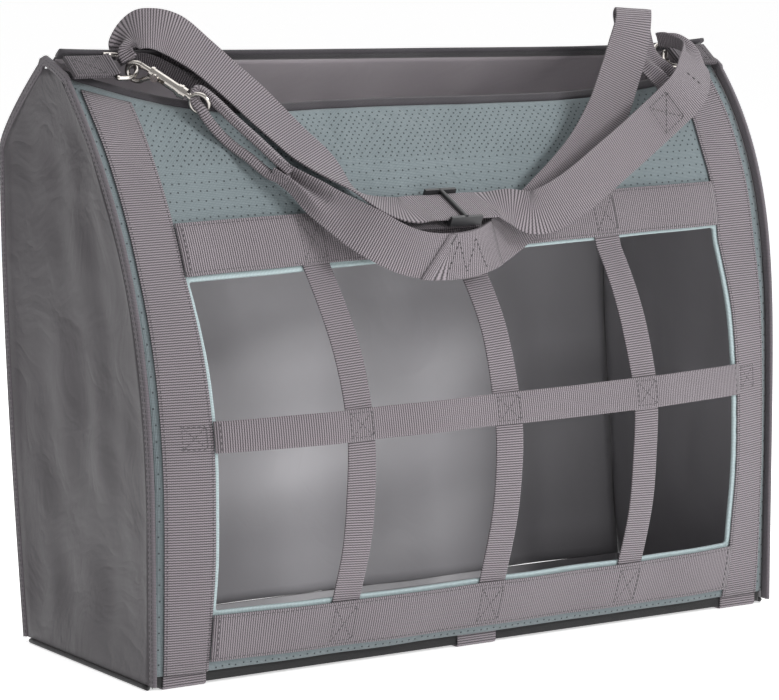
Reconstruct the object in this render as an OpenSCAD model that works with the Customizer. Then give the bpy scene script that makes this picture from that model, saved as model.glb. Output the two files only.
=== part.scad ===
// Top-load hay bag: a soft box of coated fabric with a webbing feeding grid in
// its front, two corner rings, an adjustable carry strap and a hanging strap
// with a swivel bolt snap at each end.
// Millimetres. +X runs along the width, the feeding front faces -Y, +Z is up.
// The origin is the middle of the underside, on the surface the bag stands on.

/* [Bag] */
// Width of the bag between the outer faces of its end bindings
bag_w = 612; // [480:4:760]
// Depth of the bag at its base
bag_d = 208; // [150:2:280]
// Height of the back panel's top edge
bag_h = 490; // [400:2:600]
// Thickness of the padded fabric panels
wall = 2.4; // [1.6:0.2:4]
// How far the front swells out at half height
front_bulge = 38; // [0:2:50]
// How far the back swells out
back_bulge = 31; // [0:1:45]
// How far the front's top edge leans back from the base
front_lean = 117; // [60:1:140]
// How far the top line is pulled back at the left end and forward at the right
top_skew = 27; // [0:1:40]
// How far the front's top edge sags between its corners
front_sag = 30; // [0:1:40]
// How much higher the front's webbing sits at the right end than in the middle
front_rise = 11; // [0:1:20]

/* [Feeding window] */
// Width of the opening in the front
window_w = 506; // [400:2:600]
// Height of the window's lower edge
window_z0 = 60; // [50:1:90]
// Height of the window's upper edge
window_z1 = 322; // [260:1:360]
// Height of the middle band's centre line
middle_z = 200; // [140:2:230]
// Width of the tape that binds the window's edge
window_tape = 7; // [4:0.5:12]

/* [Webbing] */
// Width of the wide webbing: frame, bands and straps
webbing_w = 38; // [25:1:50]
// Width of the narrow webbing: middle band and dividers
divider_w = 25; // [15:1:32]
// Thickness of one layer of webbing
webbing_t = 1.6; // [1.2:0.1:2.5]
// Spacing of the dividers across the window
divider_pitch = 140; // [100:5:170]
// How far a divider strays sideways from straight
divider_wave = 6; // [0:0.5:10]

/* [Bindings] */
// Width of the tape along the gusset edges
binding_w = 8; // [5:0.5:12]
// Thickness of the folded gusset tape
binding_t = 3.2; // [2.4:0.2:5]
// Height of the hem tape on the front's and the back's top edges
hem_h = 6; // [4:0.5:10]
// Radius of the piping under the gussets
piping_r = 2; // [1:0.25:3]

/* [Base] */
// Height of the base tray's lip
tray_lip = 11; // [8:0.5:20]

/* [Corner rings] */
// Radius of the ring wire
ring_wire_r = 2; // [1.5:0.1:2.4]
// Length of the ring's straight legs
ring_leg = 6; // [3:0.5:12]
// Radius of the ring's arc, to the middle of the wire
ring_r = 15; // [13:0.5:20]
// Width of the tab that holds a ring
tab_w = 25; // [18:0.5:26]
// Distance from the bag's end to the middle of a ring's bar
tab_reach = 42; // [35:1:60]

/* [Bolt snaps] */
// Radius of the snap's barrel
barrel_r = 4.2; // [3.8:0.1:5]
// Radius of the sliding bolt
bolt_r = 2.2; // [1.8:0.1:2.4]
// Radius of the hook's arc, to the middle of its wire
hook_r = 8; // [7:0.25:10]
// Radius of the hook's wire
hook_wire_r = 2.1; // [1.6:0.1:2.4]
// Radius of the swivel eye, to the middle of its wire
eye_r = 8; // [6:0.25:10]
// Radius of the swivel's stem
stem_r = 2; // [1.5:0.1:2.2]
// Travel of the thumb bolt
bolt_travel = 7; // [5:0.5:9]

/* [Slider] */
// Radius of the slider's bars
slider_bar_r = 1.9; // [1.5:0.1:2.4]
// Distance between the slider's two outer bars
slider_pitch = 26; // [20:1:34]

/* [Hidden] */
$fn = 48;

fit = 0.05;         // radial clearance of a turning or sliding fit
gap = 0.3;          // clearance between neighbouring layers
left = -1;
right = 1;

teal = [0.56, 0.65, 0.67];
pale = [0.71, 0.77, 0.78];
satin = [0.40, 0.38, 0.41];
mauve = [0.55, 0.51, 0.53];
black = [0.10, 0.10, 0.11];
nickel = [0.72, 0.71, 0.69];

panel_x = bag_w / 2 - binding_t - gap;   // half width of the front and back panels
panel_z0 = tray_lip + gap;               // height where the panels begin
lean_z0 = 100;                           // height where the front starts to lean
roof_z0 = bag_h - 84;                    // height where the back turns in to the top
swell_z = 320;                           // height where the front's swell ends
shape_z = bag_h - 14;                    // height at which the lean is measured
webbing_lo = 0.9;                        // lift of the first webbing layer above the panel
webbing_hi = webbing_lo + webbing_t;
band_lo = webbing_hi + 2 * gap;              // lift of the bands that cross it
band_hi = band_lo + webbing_t;
frame_x = window_w / 2 + 3;              // inner edge of the upright webbing

// ---------- vectors, smooth paths and cloth ----------

function unit(v) = v / norm(v);
function range(n) = [for (i = [0 : n]) i / n];
function steps(a, b, n) = [for (f = range(n)) a + (b - a) * f];

// A point on the smooth curve through p[1] and p[2]
function smooth(p, f) = 0.5 * (2 * p[1] + (p[2] - p[0]) * f
    + (2 * p[0] - 5 * p[1] + 4 * p[2] - p[3]) * f * f
    + (3 * p[1] - p[0] - 3 * p[2] + p[3]) * f * f * f);
function along(list, t) =
    let (last = len(list) - 1, i = min(floor(t), last - 1))
    smooth([list[max(i - 1, 0)], list[i], list[i + 1], list[min(i + 2, last)]], t - i);

// A closed sheet between two lifts of a surface pt(u, v, lift); cells where
// keep(i, j) is false are left open
module cloth(us, vs, pt, lo, hi, keep = function(i, j) true) {
    nu = len(us);
    nv = len(vs);
    points = [for (lift = [hi, lo]) for (u = us) for (v = vs) pt(u, v, lift)];
    function top(c) = c[0] * nv + c[1];
    function low(c) = nu * nv + top(c);
    function there(i, j) = i >= 0 && j >= 0 && i < nu - 1 && j < nv - 1 && keep(i, j);
    function wall_of(a, b) = [[top(b), top(a), low(a)], [top(b), low(a), low(b)]];
    faces = [for (i = [0 : nu - 2]) for (j = [0 : nv - 2]) if (there(i, j))
        let (a = [i, j], b = [i, j + 1], c = [i + 1, j + 1], d = [i + 1, j])
        each concat(
            [[top(a), top(b), top(c)], [top(a), top(c), top(d)]],
            [[low(a), low(c), low(b)], [low(a), low(d), low(c)]],
            there(i - 1, j) ? [] : wall_of(a, b),
            there(i, j + 1) ? [] : wall_of(b, c),
            there(i + 1, j) ? [] : wall_of(c, d),
            there(i, j - 1) ? [] : wall_of(d, a)
        )];
    polyhedron(points, faces, convexity = 6);
}

// A strap swept along a route of [point, width direction, width] places
module ribbon(route, thick, fine = 5) {
    last = len(route) - 1;
    places = [for (r = route) r[0]];
    sides = [for (r = route) r[1]];
    widths = [for (r = route) [r[2]]];
    function at(t) = along(places, t);
    function tangent(t) = unit(at(min(t + 0.02, last)) - at(max(t - 0.02, 0)));
    function flat(t) = let (s = along(sides, t), d = tangent(t)) unit(s - (s * d) * d);
    cloth([-0.5, 0.5], steps(0, last, fine * last),
        function(u, t, lift) at(t) + flat(t) * u * along(widths, t)[0]
            + cross(flat(t), tangent(t)) * lift,
        -thick / 2, thick / 2);
}

// ---------- the bag's surfaces ----------

function share(x) = 2 * x / bag_w;
// Height on the front of what is h up its middle: the front is hitched up to the right
function hitched(x, h) = h + front_rise * share(x)
    * (h < window_z1 ? pow(h / window_z1, 2) : max(0, (bag_h - h) / (bag_h - window_z1)));
function lean(x) = front_lean - (top_skew + 1) * share(x);
function ridge_y(x) = 12 - top_skew * share(x);
function swell(z) = max(0, 1 - pow((z - swell_z / 2) / (swell_z / 2), 2));
function front_y(x, z) = -bag_d / 2
    + lean(x) * pow(max(0, (z - lean_z0) / (shape_z - lean_z0)), 3.6 + 0.9 * share(x))
    - front_bulge * (1 - pow(share(x), 4)) * swell(z);
function back_y(x, z) =
    let (out = bag_d / 2 + back_bulge * sin(90 * min(z / (roof_z0 - 10), 1)))
    out - (out - ridge_y(x)) * pow(max(0, (z - roof_z0) / (bag_h - roof_z0)), 1.25);
// Height of the front's top edge: a sag, with a small dip under the left snap
function front_top(x) = bag_h - 14 - hem_h - front_sag * (1 - pow(share(x), 4))
    - 5 * exp(-pow((share(x) + 0.6) / 0.25, 2));
function back_top(x) = bag_h - hem_h - 5 * (1 - pow(share(x), 6)) * (1 + 0.5 * share(x));

function front_point(x, z, lift) =
    let (tx = [2, front_y(x + 1, z) - front_y(x - 1, z), 0],
         tz = [0, front_y(x, z + 1) - front_y(x, z - 1), 2])
    [x, front_y(x, z), z] + unit(cross(tx, tz)) * lift;
function back_point(x, z, lift) =
    let (tx = [2, back_y(x + 1, z) - back_y(x - 1, z), 0],
         tz = [0, back_y(x, z + 1) - back_y(x, z - 1), 2])
    [x, back_y(x, z), z] + unit(cross(tz, tx)) * lift;

top_z0 = 400;       // above this height the rows of a panel squeeze in under its top edge
function under(v, top) = v <= top_z0 ? v : top_z0 + (v - top_z0) * (top - top_z0) / (bag_h - top_z0);

// ---------- panels ----------

hole_x = window_w / 2 + window_tape + gap;
hole_z0 = window_z0 - window_tape - gap;
hole_z1 = window_z1 + window_tape + gap;

upper_z = window_z1 + 2;
lower_z = window_z0 - 2 - webbing_w;

// Every layer of the front is cut along the same columns and rows, so that
// stacked layers keep their distance: each list of marks is filled in until no
// two cuts are further apart than step
right_marks = [frame_x, hole_x - gap, hole_x, frame_x + webbing_w, panel_x];
x_marks = concat([for (i = [len(right_marks) - 1 : -1 : 0]) -right_marks[i]],
    [-window_w / 2, 0, window_w / 2], right_marks);
z_marks = [panel_z0, lower_z, hole_z0, hole_z0 + gap, window_z0, middle_z - divider_w / 2,
    middle_z + divider_w / 2, window_z1, upper_z, hole_z1 - gap, hole_z1, upper_z + webbing_w,
    top_z0, bag_h - 10, bag_h];
function sorted(list) = len(list) < 2 ? list :
    let (m = list[0], rest = [for (i = [1 : len(list) - 1]) list[i]])
    concat(sorted([for (v = rest) if (v < m) v]), [m], sorted([for (v = rest) if (v > m) v]));
function filled(marks, step) = let (m = sorted(marks)) concat([m[0]],
    [for (i = [1 : len(m) - 1]) let (n = ceil((m[i] - m[i - 1]) / step))
        for (k = [1 : n]) m[i - 1] + (m[i] - m[i - 1]) * k / n]);
columns = filled(x_marks, 34);
rows = filled(z_marks, 17);
function middles(list) = [for (i = [1 : len(list) - 1]) (list[i - 1] + list[i]) / 2];
function between(list, a, b) = [for (v = list) if (v > a - 0.01 && v < b + 0.01) v];

module front_panel() {
    xs = between(columns, -panel_x, panel_x);
    zs = between(rows, panel_z0, bag_h);
    mid_x = middles(xs);
    mid_z = middles(zs);
    color(teal)
    cloth(xs, zs, function(x, z, lift) front_point(x, under(hitched(x, z), front_top(x)), lift), -wall, 0,
        function(i, j) abs(mid_x[i]) > hole_x || mid_z[j] < hole_z0 || mid_z[j] > hole_z1);
}

module back_panel() {
    zs = concat(steps(panel_z0, roof_z0 - 30, 7), steps(roof_z0 - 15, bag_h, 9));
    color(satin)
    cloth(steps(-panel_x, panel_x, 12), zs,
        function(u, z, lift) back_point(-u, under(z, back_top(u)), lift), -wall, 0);
}

foot_z = 2 * piping_r + 2 * gap;         // height where the gussets begin
// Outline of a gusset, seen from the side, in [y, z]
function front_edge(x, inset) = [for (z = steps(foot_z, bag_h - 20, 14))
    [front_y(x, z) + inset, z]];
function back_edge(x, inset) = [for (z = steps(bag_h - hem_h, foot_z, 16))
    [back_y(x, z) - inset, z]];

module end_plate(side, thick, from) {
    x = side * bag_w / 2;
    translate([side * (bag_w / 2 - from) - (side > 0 ? thick : 0), 0, 0])
    rotate([90, 0, 90])
    linear_extrude(thick)
    children();
}

module gusset(side) {
    x = side * bag_w / 2;
    color(satin)
    end_plate(side, wall, (binding_t - wall) / 2)
    polygon(concat(front_edge(x, 0), back_edge(x, 0)));
}

// Folded tape standing out from a gusset's edge
function offset_path(path, amount) = [for (i = [0 : len(path) - 1])
    let (d = unit(path[min(i + 1, len(path) - 1)] - path[max(i - 1, 0)]))
    path[i] + [-d[1], d[0]] * amount];
function reversed(list) = [for (i = [len(list) - 1 : -1 : 0]) list[i]];

module edge_tape(side, path) {
    color(mauve * 0.9)
    end_plate(side, binding_t, 0)
    polygon(concat(offset_path(path, gap), reversed(offset_path(path, gap + binding_w))));
}

module base_tray() {
    color(black)
    translate([0, 0, webbing_t + gap])
    difference() {
        translate([-panel_x, -bag_d / 2, 0])
        cube([2 * panel_x, bag_d, tray_lip - webbing_t - gap]);
        translate([-panel_x + wall, -bag_d / 2 + wall, wall])
        cube([2 * (panel_x - wall), bag_d - 2 * wall, tray_lip]);
    }
}

module window_binding() {
    xs = between(columns, -hole_x + gap, hole_x - gap);
    zs = between(rows, hole_z0 + gap, hole_z1 - gap);
    mid_x = middles(xs);
    mid_z = middles(zs);
    color(pale)
    cloth(xs, zs, function(x, z, lift) front_point(x, hitched(x, z), lift), -wall - 0.6, 0.6,
        function(i, j) abs(mid_x[i]) > window_w / 2 || mid_z[j] < window_z0 || mid_z[j] > window_z1);
}

// ---------- webbing on the front ----------

module front_webbing(side) {
    edge = side > 0 ? frame_x : -frame_x - webbing_w;
    color(mauve)
    cloth(between(columns, edge, edge + webbing_w), between(rows, panel_z0, bag_h - 10),
        function(x, z, lift) front_point(x, under(hitched(x, z), front_top(x)), lift),
        webbing_lo, webbing_hi);
}

module band(z0, width) {
    reach = frame_x - gap;
    color(mauve)
    cloth(concat([-reach], between(columns, -reach + 1, reach - 1), [reach]), between(rows, z0, z0 + width),
        function(x, z, lift) front_point(x, hitched(x, z), lift), band_lo, band_hi);
}

module divider(x0) {
    color(mauve)
    cloth([-divider_w / 2, 0, divider_w / 2], between(rows, hole_z0 + gap, hole_z1 - gap),
        function(u, z, lift)
            let (x = x0 + u + divider_wave * sin(180 * (z - window_z0) / (window_z1 - window_z0)))
            front_point(x, hitched(x, z), lift),
        webbing_lo, webbing_hi);
}

// Strap end wrapped under the base, turned up at the front and the back
module base_strap(x0) {
    color(mauve)
    translate([x0 - webbing_w / 2, 0, 0])
    rotate([90, 0, 90])
    linear_extrude(webbing_w)
    difference() {
        translate([-bag_d / 2 - gap - webbing_t, 0])
        square([bag_d + 2 * (gap + webbing_t), tray_lip]);
        translate([-bag_d / 2 - gap, webbing_t])
        square([bag_d + 2 * gap, tray_lip]);
    }
}

module front_hem() {
    color(black * 2)
    cloth(between(columns, -panel_x, panel_x), [0, 1],
        function(x, v, lift) front_point(x, front_top(x) + 2 * gap + v * (hem_h - 2 * gap), lift),
        -wall - 0.8, 0.8);
}

module back_hem() {
    color(satin * 0.7)
    cloth(steps(-panel_x, panel_x, 12), [0, 1],
        function(u, v, lift) back_point(-u, back_top(u) + gap + v * (hem_h - gap), lift),
        -wall - 0.8, 0.8);
}

module bottom_piping(side) {
    color(black)
    translate([side * (panel_x + gap + piping_r), 0, piping_r])
    rotate([90, 0, 0])
    cylinder(r = piping_r, h = bag_d - 2, center = true);
}

// ---------- corner rings and their tabs ----------

// The left end's hardware frame; the right end's is its mirror image, moved
// forward with the skewed top line
module at_end(side) {
    if (side > 0) translate([0, -2 * ring_skew, 0]) mirror([1, 0, 0]) children();
    else children();
}
ring_skew = top_skew - 3;
bar_at = [-bag_w / 2 + tab_reach, ring_skew, bag_h - 14];
bar_dir = [0, 0.8, 0.6];
out_dir = [1, 0, 0];

function frame(x, y, z, o) = [
    [x[0], y[0], z[0], o[0]], [x[1], y[1], z[1], o[1]], [x[2], y[2], z[2], o[2]], [0, 0, 0, 1]];

loop_r = ring_wire_r + 2 * fit + webbing_t;

module ring_tab(side) {
    reach = tab_reach - binding_t - gap;
    color(mauve * 0.7)
    at_end(side)
    multmatrix(frame(out_dir, bar_dir, cross(out_dir, bar_dir), bar_at))
    rotate([90, 0, 0])
    difference() {
        linear_extrude(tab_w, center = true)
        union() {
            circle(r = loop_r);
            translate([-reach, -webbing_t]) square([reach, 2 * webbing_t]);
        }
        cylinder(r = ring_wire_r + fit, h = tab_w + 2, center = true);
    }
}

module ring(side) {
    color(nickel)
    at_end(side)
    multmatrix(frame(out_dir, bar_dir, cross(out_dir, bar_dir), bar_at))
    union() {
        rotate([90, 0, 0]) cylinder(r = ring_wire_r, h = 2 * ring_r, center = true);
        translate([ring_leg, 0, 0]) rotate([0, 0, -90])
        rotate_extrude(angle = 180) translate([ring_r, 0]) circle(ring_wire_r);
        for (s = [-1, 1]) translate([0, s * ring_r, 0]) {
            sphere(ring_wire_r);
            rotate([0, 90, 0]) cylinder(r = ring_wire_r, h = ring_leg);
        }
    }
}

// ---------- swivel bolt snaps ----------
// Local frame: +Z from the eye to the hook, the barrel's axis at x = 0, the
// hook's arc in the XZ plane, the thumb piece towards -Y.

grip_angle = 60;    // where on the ring's arc the hook holds it
grip_at = bar_at + ring_leg * out_dir
    + ring_r * (sin(grip_angle) * out_dir - cos(grip_angle) * bar_dir);
grip_dir = sin(grip_angle) * bar_dir + cos(grip_angle) * out_dir;
// The left snap lies along the front; the right one, drawn here as its mirror image, is steeper
function snap_dir(side) = unit(side < 0 ? [-0.66, 0.52, 0.55] : [-0.52, 0.58, 0.63]);
function snap_y(side) = unit(grip_dir - (grip_dir * snap_dir(side)) * snap_dir(side));
function snap_x(side) = cross(snap_y(side), snap_dir(side));

stem_z = 2 * eye_r + 2;             // where the stem leaves the eye
collar_z = stem_z + 3;              // underside of the body
collar_h = 10;
barrel_z = collar_z + collar_h;     // where the barrel begins
barrel_h = 24;
barrel_top = barrel_z + barrel_h;
hook_z = barrel_top + 9;            // height of the hook's centre
hook_x = -hook_r;                   // the hook's tip is over the barrel's bore
head_r = stem_r + 1.2;
head_h = 2;
floor_h = 3.5;                      // thickness of the collar's floor round the stem
slot_w = 3.2;
slot_z = barrel_top - 8 - bolt_travel;
knob_r = 1.4;

module snap_place(side) {
    at_end(side)
    multmatrix(frame(snap_x(side), snap_y(side), snap_dir(side),
        grip_at - hook_x * snap_x(side) - hook_z * snap_dir(side)))
    children();
}

module snap_eye(side) {
    color(nickel)
    snap_place(side)
    union() {
        translate([0, 0, eye_r]) rotate([90, 0, 0])
        rotate_extrude() translate([eye_r, 0]) circle(1.8);
        translate([0, 0, 2 * eye_r]) cylinder(r = stem_r, h = collar_z + floor_h - 2 * eye_r + head_h);
        translate([0, 0, 2 * eye_r]) cylinder(r = 3.2, h = 2.4);
        translate([0, 0, collar_z + floor_h + gap]) cylinder(r = head_r, h = head_h);
    }
}

module snap_body(side) {
    color(nickel)
    snap_place(side)
    difference() {
        union() {
            translate([0, 0, collar_z]) cylinder(r = barrel_r + 0.8, h = collar_h - 2);
            translate([0, 0, collar_z + 4]) cylinder(r = barrel_r + 1.6, h = 1.6);
            translate([0, 0, collar_z]) cylinder(r = barrel_r, h = barrel_top - collar_z);
            translate([0, 0, barrel_top - 3]) cylinder(r = barrel_r + 0.6, h = 2);
            translate([hook_x, 0, hook_z]) rotate([90, 0, 0])
            rotate_extrude(angle = 250) translate([hook_r, 0]) circle(hook_wire_r);
            translate([hook_x + hook_r * cos(250), 0, hook_z + hook_r * sin(250)])
            rotate([0, 128, 0])
            cylinder(r = hook_wire_r, h = 10);
        }
        // bore of the sliding bolt, its slot, and the swivel's hole and pocket
        translate([0, 0, barrel_z]) cylinder(r = bolt_r + fit, h = barrel_h + 1);
        translate([-slot_w / 2, -barrel_r - 2, slot_z])
        cube([slot_w, barrel_r + 2, bolt_travel + slot_w + gap]);
        translate([0, 0, collar_z - 1]) cylinder(r = stem_r + fit, h = floor_h + 2);
        translate([0, 0, collar_z + floor_h]) cylinder(r = head_r + gap, h = head_h + 2 * gap);
    }
}

module snap_bolt(side) {
    tip_z = hook_z - gap;
    knob_z = slot_z + bolt_travel + slot_w / 2;
    color(nickel * 0.95)
    snap_place(side)
    union() {
        translate([0, 0, slot_z + bolt_travel - 4]) cylinder(r = bolt_r, h = tip_z - slot_z - bolt_travel + 4);
        translate([0, 0, knob_z]) rotate([90, 0, 0]) cylinder(r = knob_r, h = barrel_r + 2.2);
        translate([0, -barrel_r - 0.6, knob_z]) rotate([90, 0, 0]) cylinder(r = 3.4, h = 2.2);
    }
}

// The bolt's return spring, drawn closed up at the foot of the bore
module bolt_spring(side) {
    wire = 0.35;
    turns = 6;
    color(nickel * 0.8)
    snap_place(side)
    for (i = [0 : turns - 1])
        translate([0, 0, barrel_z + wire + gap + i * (2 * wire + 0.05)])
        rotate_extrude($fn = 24) translate([bolt_r - wire - fit, 0]) circle(wire, $fn = 16);
}

// ---------- straps ----------
// Each route is a list of [middle of the strap, direction across it, width];
// a strap is gathered narrower where it goes through a ring or an eye.

carry_route = [
    [[-234, 25, 486], [0, 1, 0.5], 22], [[-243, 28, 499], [0, 0.8, 0.6], 34],
    [[-235, 20, 506], [0.1, 0.6, 0.8], 38], [[-214, 13, 500], [0.3, 0.4, 1], 38],
    [[-190, 4, 481], [0.4, 0.6, 0.9], 38], [[-162, -14, 452], [0.4, 0.7, 0.9], 38],
    [[-138, -40, 420], [0.4, 0.8, 0.8], 38], [[-120, -62, 398], [0.5, 0.9, 0.6], 38],
    [[-98, -82, 374], [0, 1, 0.3], 38], [[-70, -98, 362], [0, 0.9, 0.45], 38],
    [[-50, -98, 362], [0, 0.9, 0.45], 38], [[-20, -98, 362], [0, 0.9, 0.45], 38],
    [[8, -98, 362], [0, 0.9, 0.45], 38], [[18, -98, 362], [0, 0.9, 0.45], 38],
    [[34, -103, 360], [-0.1, 0.7, 0.7], 38], [[55, -112, 355], [-0.3, 0.45, 0.85], 38], [[88, -114, 368], [-0.5, 0.3, 0.8], 38],
    [[135, -110, 396], [-0.6, 0.2, 0.8], 38], [[184, -102, 425], [-0.6, 0.2, 0.8], 38],
    [[220, -96, 449], [-0.6, 0.3, 0.8], 38], [[241, -80, 467], [-0.5, 0.5, 0.8], 34],
    [[252, -62, 480], [-0.8, 0.3, 0.6], 28], [[250, -42, 489], [-1, 0, 0.1], 22],
    [[246, -27, 489], [-1, 0, 0], 17]
];

tail_route = [
    [[-87, -90, 357], [0, 0.85, 0.5], 38], [[-75, -95, 356], [0, 0.9, 0.45], 38],
    [[-50, -95, 355], [0, 0.9, 0.45], 38], [[0, -95, 355], [0, 0.9, 0.45], 38]
];

hanging_route = [
    [[-196, -26, 436], [0.5, 0.3, 1], 12], [[-180, -42, 414], [0.5, 0.3, 1], 16],
    [[-158, -64, 391], [0.6, 0.3, 1], 20], [[-134, -88, 368], [0.6, 0.2, 1], 34],
    [[-110, -115, 347], [0.4, -0.1, 1], 38], [[-80, -124, 331], [0.2, -0.15, 1], 38],
    [[-46, -123, 325], [0, -0.15, 1], 38], [[-6, -117, 327], [-0.3, -0.1, 1], 38],
    [[38, -96, 339], [-0.5, 0.1, 1], 38], [[78, -90, 365], [-0.8, 0.1, 0.8], 38],
    [[120, -84, 397], [-0.9, 0.2, 0.5], 38], [[152, -74, 430], [-1, 0.2, 0.3], 38],
    [[171, -67, 462], [-1, 0.15, 0.25], 38], [[184, -62, 488], [-1, 0.1, 0.3], 38],
    [[191, -59, 508], [-1, 0, 0.3], 38], [[196, -52, 517], [-1, 0, 0.2], 38],
    [[200, -44, 509], [-1, 0, 0.1], 38], [[207, -47, 482], [-1, 0, 0.1], 34],
    [[219, -73, 455], [-1, 0, 0.1], 22],
    [[214, -80, 436], [-1, 0, 0.2], 14], [[208, -78, 427], [-1, 0, 0.3], 12]
];

module carry_strap() {
    color(mauve) ribbon(carry_route, webbing_t);
}

module carry_strap_tail() {
    color(mauve * 0.8) ribbon(tail_route, webbing_t);
}

module hanging_strap() {
    color(mauve * 1.1) ribbon(hanging_route, webbing_t);
}

slider_at = [-20, -98, 362];      // on the straight stretch of the carry strap

// Three-bar slider: the outer bars lie over the strap, the middle bar under it
module slider() {
    inner = webbing_w / 2 + 1;
    rise = webbing_t / 2 + slider_bar_r + gap;
    d = unit([1, 0, 0]);
    s = unit([0, 0.9, 0.45]);
    color(black)
    multmatrix(frame(d, s, cross(d, s), slider_at))
    union() {
        for (x = [-1, 0, 1]) translate([x * slider_pitch / 2, 0, x == 0 ? rise : -rise])
            rotate([90, 0, 0]) cylinder(r = slider_bar_r, h = 2 * inner + 3, center = true);
        for (y = [-1, 1]) translate([0, y * (inner + 1.5), 0])
            cube([slider_pitch + 2 * slider_bar_r, 3, 2 * rise + slider_bar_r], center = true);
    }
}

front_panel();
back_panel();
gusset(left);  // left_gusset
gusset(right);  // right_gusset
base_tray();
window_binding();
front_webbing(left);  // left_front_webbing
front_webbing(right);  // right_front_webbing
band(upper_z, webbing_w);  // upper_band
band(middle_z - divider_w / 2, divider_w);  // middle_band
band(lower_z, webbing_w);  // lower_band
divider(-divider_pitch);  // left_divider
divider(0);  // centre_divider
divider(divider_pitch);  // right_divider
base_strap(-frame_x - webbing_w / 2);  // left_base_strap
base_strap(0);  // centre_base_strap
base_strap(frame_x + webbing_w / 2);  // right_base_strap
front_hem();  // front_top_hem
back_hem();  // back_top_hem
edge_tape(left, front_edge(-bag_w / 2, 0));  // left_front_binding
edge_tape(left, back_edge(-bag_w / 2, 0));  // left_back_binding
edge_tape(right, front_edge(bag_w / 2, 0));  // right_front_binding
edge_tape(right, back_edge(bag_w / 2, 0));  // right_back_binding
bottom_piping(left);  // left_bottom_piping
bottom_piping(right);  // right_bottom_piping
ring_tab(left);  // left_ring_tab
ring_tab(right);  // right_ring_tab
ring(left);  // left_ring
ring(right);  // right_ring
carry_strap();
carry_strap_tail();
slider();
hanging_strap();
snap_eye(left);  // left_snap_eye
snap_body(left);  // left_snap_body
snap_bolt(left);  // left_snap_bolt
bolt_spring(left);  // left_bolt_spring
snap_eye(right);  // right_snap_eye
snap_body(right);  // right_snap_body
snap_bolt(right);  // right_snap_bolt
bolt_spring(right);  // right_bolt_spring
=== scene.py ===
# %% [markdown]
# # A soft hay bag, built on its engineering frame
# The bag is a box of coated cloth that stands on the floor. Its feeding front
# leans back, and a grid of webbing crosses the window through which the animal
# pulls hay. Two corner rings carry a shoulder strap and, on two swivel snaps, a
# hanging strap. The hard parts keep their engineering meshes and only get a
# finish. The soft parts are made again here as cloth, tape and webbing, in the
# same places and in metres.

# %% Load the frame
import bpy
import math
import numpy as np
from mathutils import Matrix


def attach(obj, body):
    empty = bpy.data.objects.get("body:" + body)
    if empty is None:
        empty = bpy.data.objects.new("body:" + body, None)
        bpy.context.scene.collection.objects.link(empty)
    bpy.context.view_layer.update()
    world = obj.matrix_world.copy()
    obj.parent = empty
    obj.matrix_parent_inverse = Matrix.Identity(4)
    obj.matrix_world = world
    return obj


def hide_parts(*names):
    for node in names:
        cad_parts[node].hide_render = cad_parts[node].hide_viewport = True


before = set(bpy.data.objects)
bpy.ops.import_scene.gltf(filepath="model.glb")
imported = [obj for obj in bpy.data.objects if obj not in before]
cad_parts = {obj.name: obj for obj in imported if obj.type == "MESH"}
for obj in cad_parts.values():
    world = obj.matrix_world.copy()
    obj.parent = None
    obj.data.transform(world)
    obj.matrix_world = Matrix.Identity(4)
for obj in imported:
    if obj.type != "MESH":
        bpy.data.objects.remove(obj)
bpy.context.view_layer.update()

# %% [markdown]
# ## Sizes
# Lengths are metres here and millimetres in the part's own source, so the sizes
# are written in millimetres and scaled once. A strap lies on the panel with a
# small air gap, so each layer has the lift at which it starts.

# %% Sizes of the bag and its webbing
MM = 0.001
BAG_W, BAG_D, BAG_H = 612 * MM, 208 * MM, 490 * MM
WALL = 2.4 * MM
LIP = 11 * MM                      # height of the base tray's lip
WINDOW_W, WINDOW_Z0, WINDOW_Z1 = 506 * MM, 60 * MM, 322 * MM
TAPE = 7 * MM                      # tape round the window
WEB, NARROW, WEB_T = 38 * MM, 25 * MM, 1.6 * MM
FRAME_X = WINDOW_W / 2 + 3 * MM
PANEL_X = BAG_W / 2 - 3.5 * MM
HEM = 6 * MM
MIDDLE_Z, PITCH = 200 * MM, 140 * MM
UPPER_Z, LOWER_Z = WINDOW_Z1 + 2 * MM, WINDOW_Z0 - 2 * MM - WEB
WEB_LO, BAND_LO = 0.9 * MM, 3.1 * MM
ROOF_Z0, SWELL_Z, SHAPE_Z, LEAN_Z0, TOP_Z0 = 406 * MM, 320 * MM, 476 * MM, 100 * MM, 400 * MM


# %% [markdown]
# ## The bag's surfaces
# One function gives the front's depth at any width and height: it swells over
# the hay and then leans back to the top edge, more at the left than at the
# right. Every layer on the front asks the same function for its place, plus a
# lift along the surface's normal, so the layers stay stacked however the cloth
# swells. Soft swells from a few seeded waves keep the cloth from looking pressed.

# %% Shape of the front and the back
def waves(seed, length, count=7):
    """A smooth field over two coordinates, about -1 to 1, with swells of about the given length."""
    rng = np.random.default_rng(seed)
    turn = rng.uniform(0, math.pi, count)
    size = rng.uniform(0.7, 1.5, count) * 2 * math.pi / length
    phase = rng.uniform(0, 2 * math.pi, count)
    return lambda a, b: sum(np.sin(s * (a * math.cos(t) + b * math.sin(t)) + p)
                            for t, s, p in zip(turn, size, phase)) / count ** 0.5 / 1.6


def ramp(value, start, end):
    f = np.clip((value - start) / (end - start), 0, 1)
    return f * f * (3 - 2 * f)


def share(x):
    return 2 * x / BAG_W


def hitched(x, h):
    low = (h / WINDOW_Z1) ** 2
    high = np.clip((BAG_H - h) / (BAG_H - WINDOW_Z1), 0, None)
    return h + 11 * MM * share(x) * np.where(h < WINDOW_Z1, low, high)


front_swell, front_crease = waves(4, 0.11), waves(9, 0.045)


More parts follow.
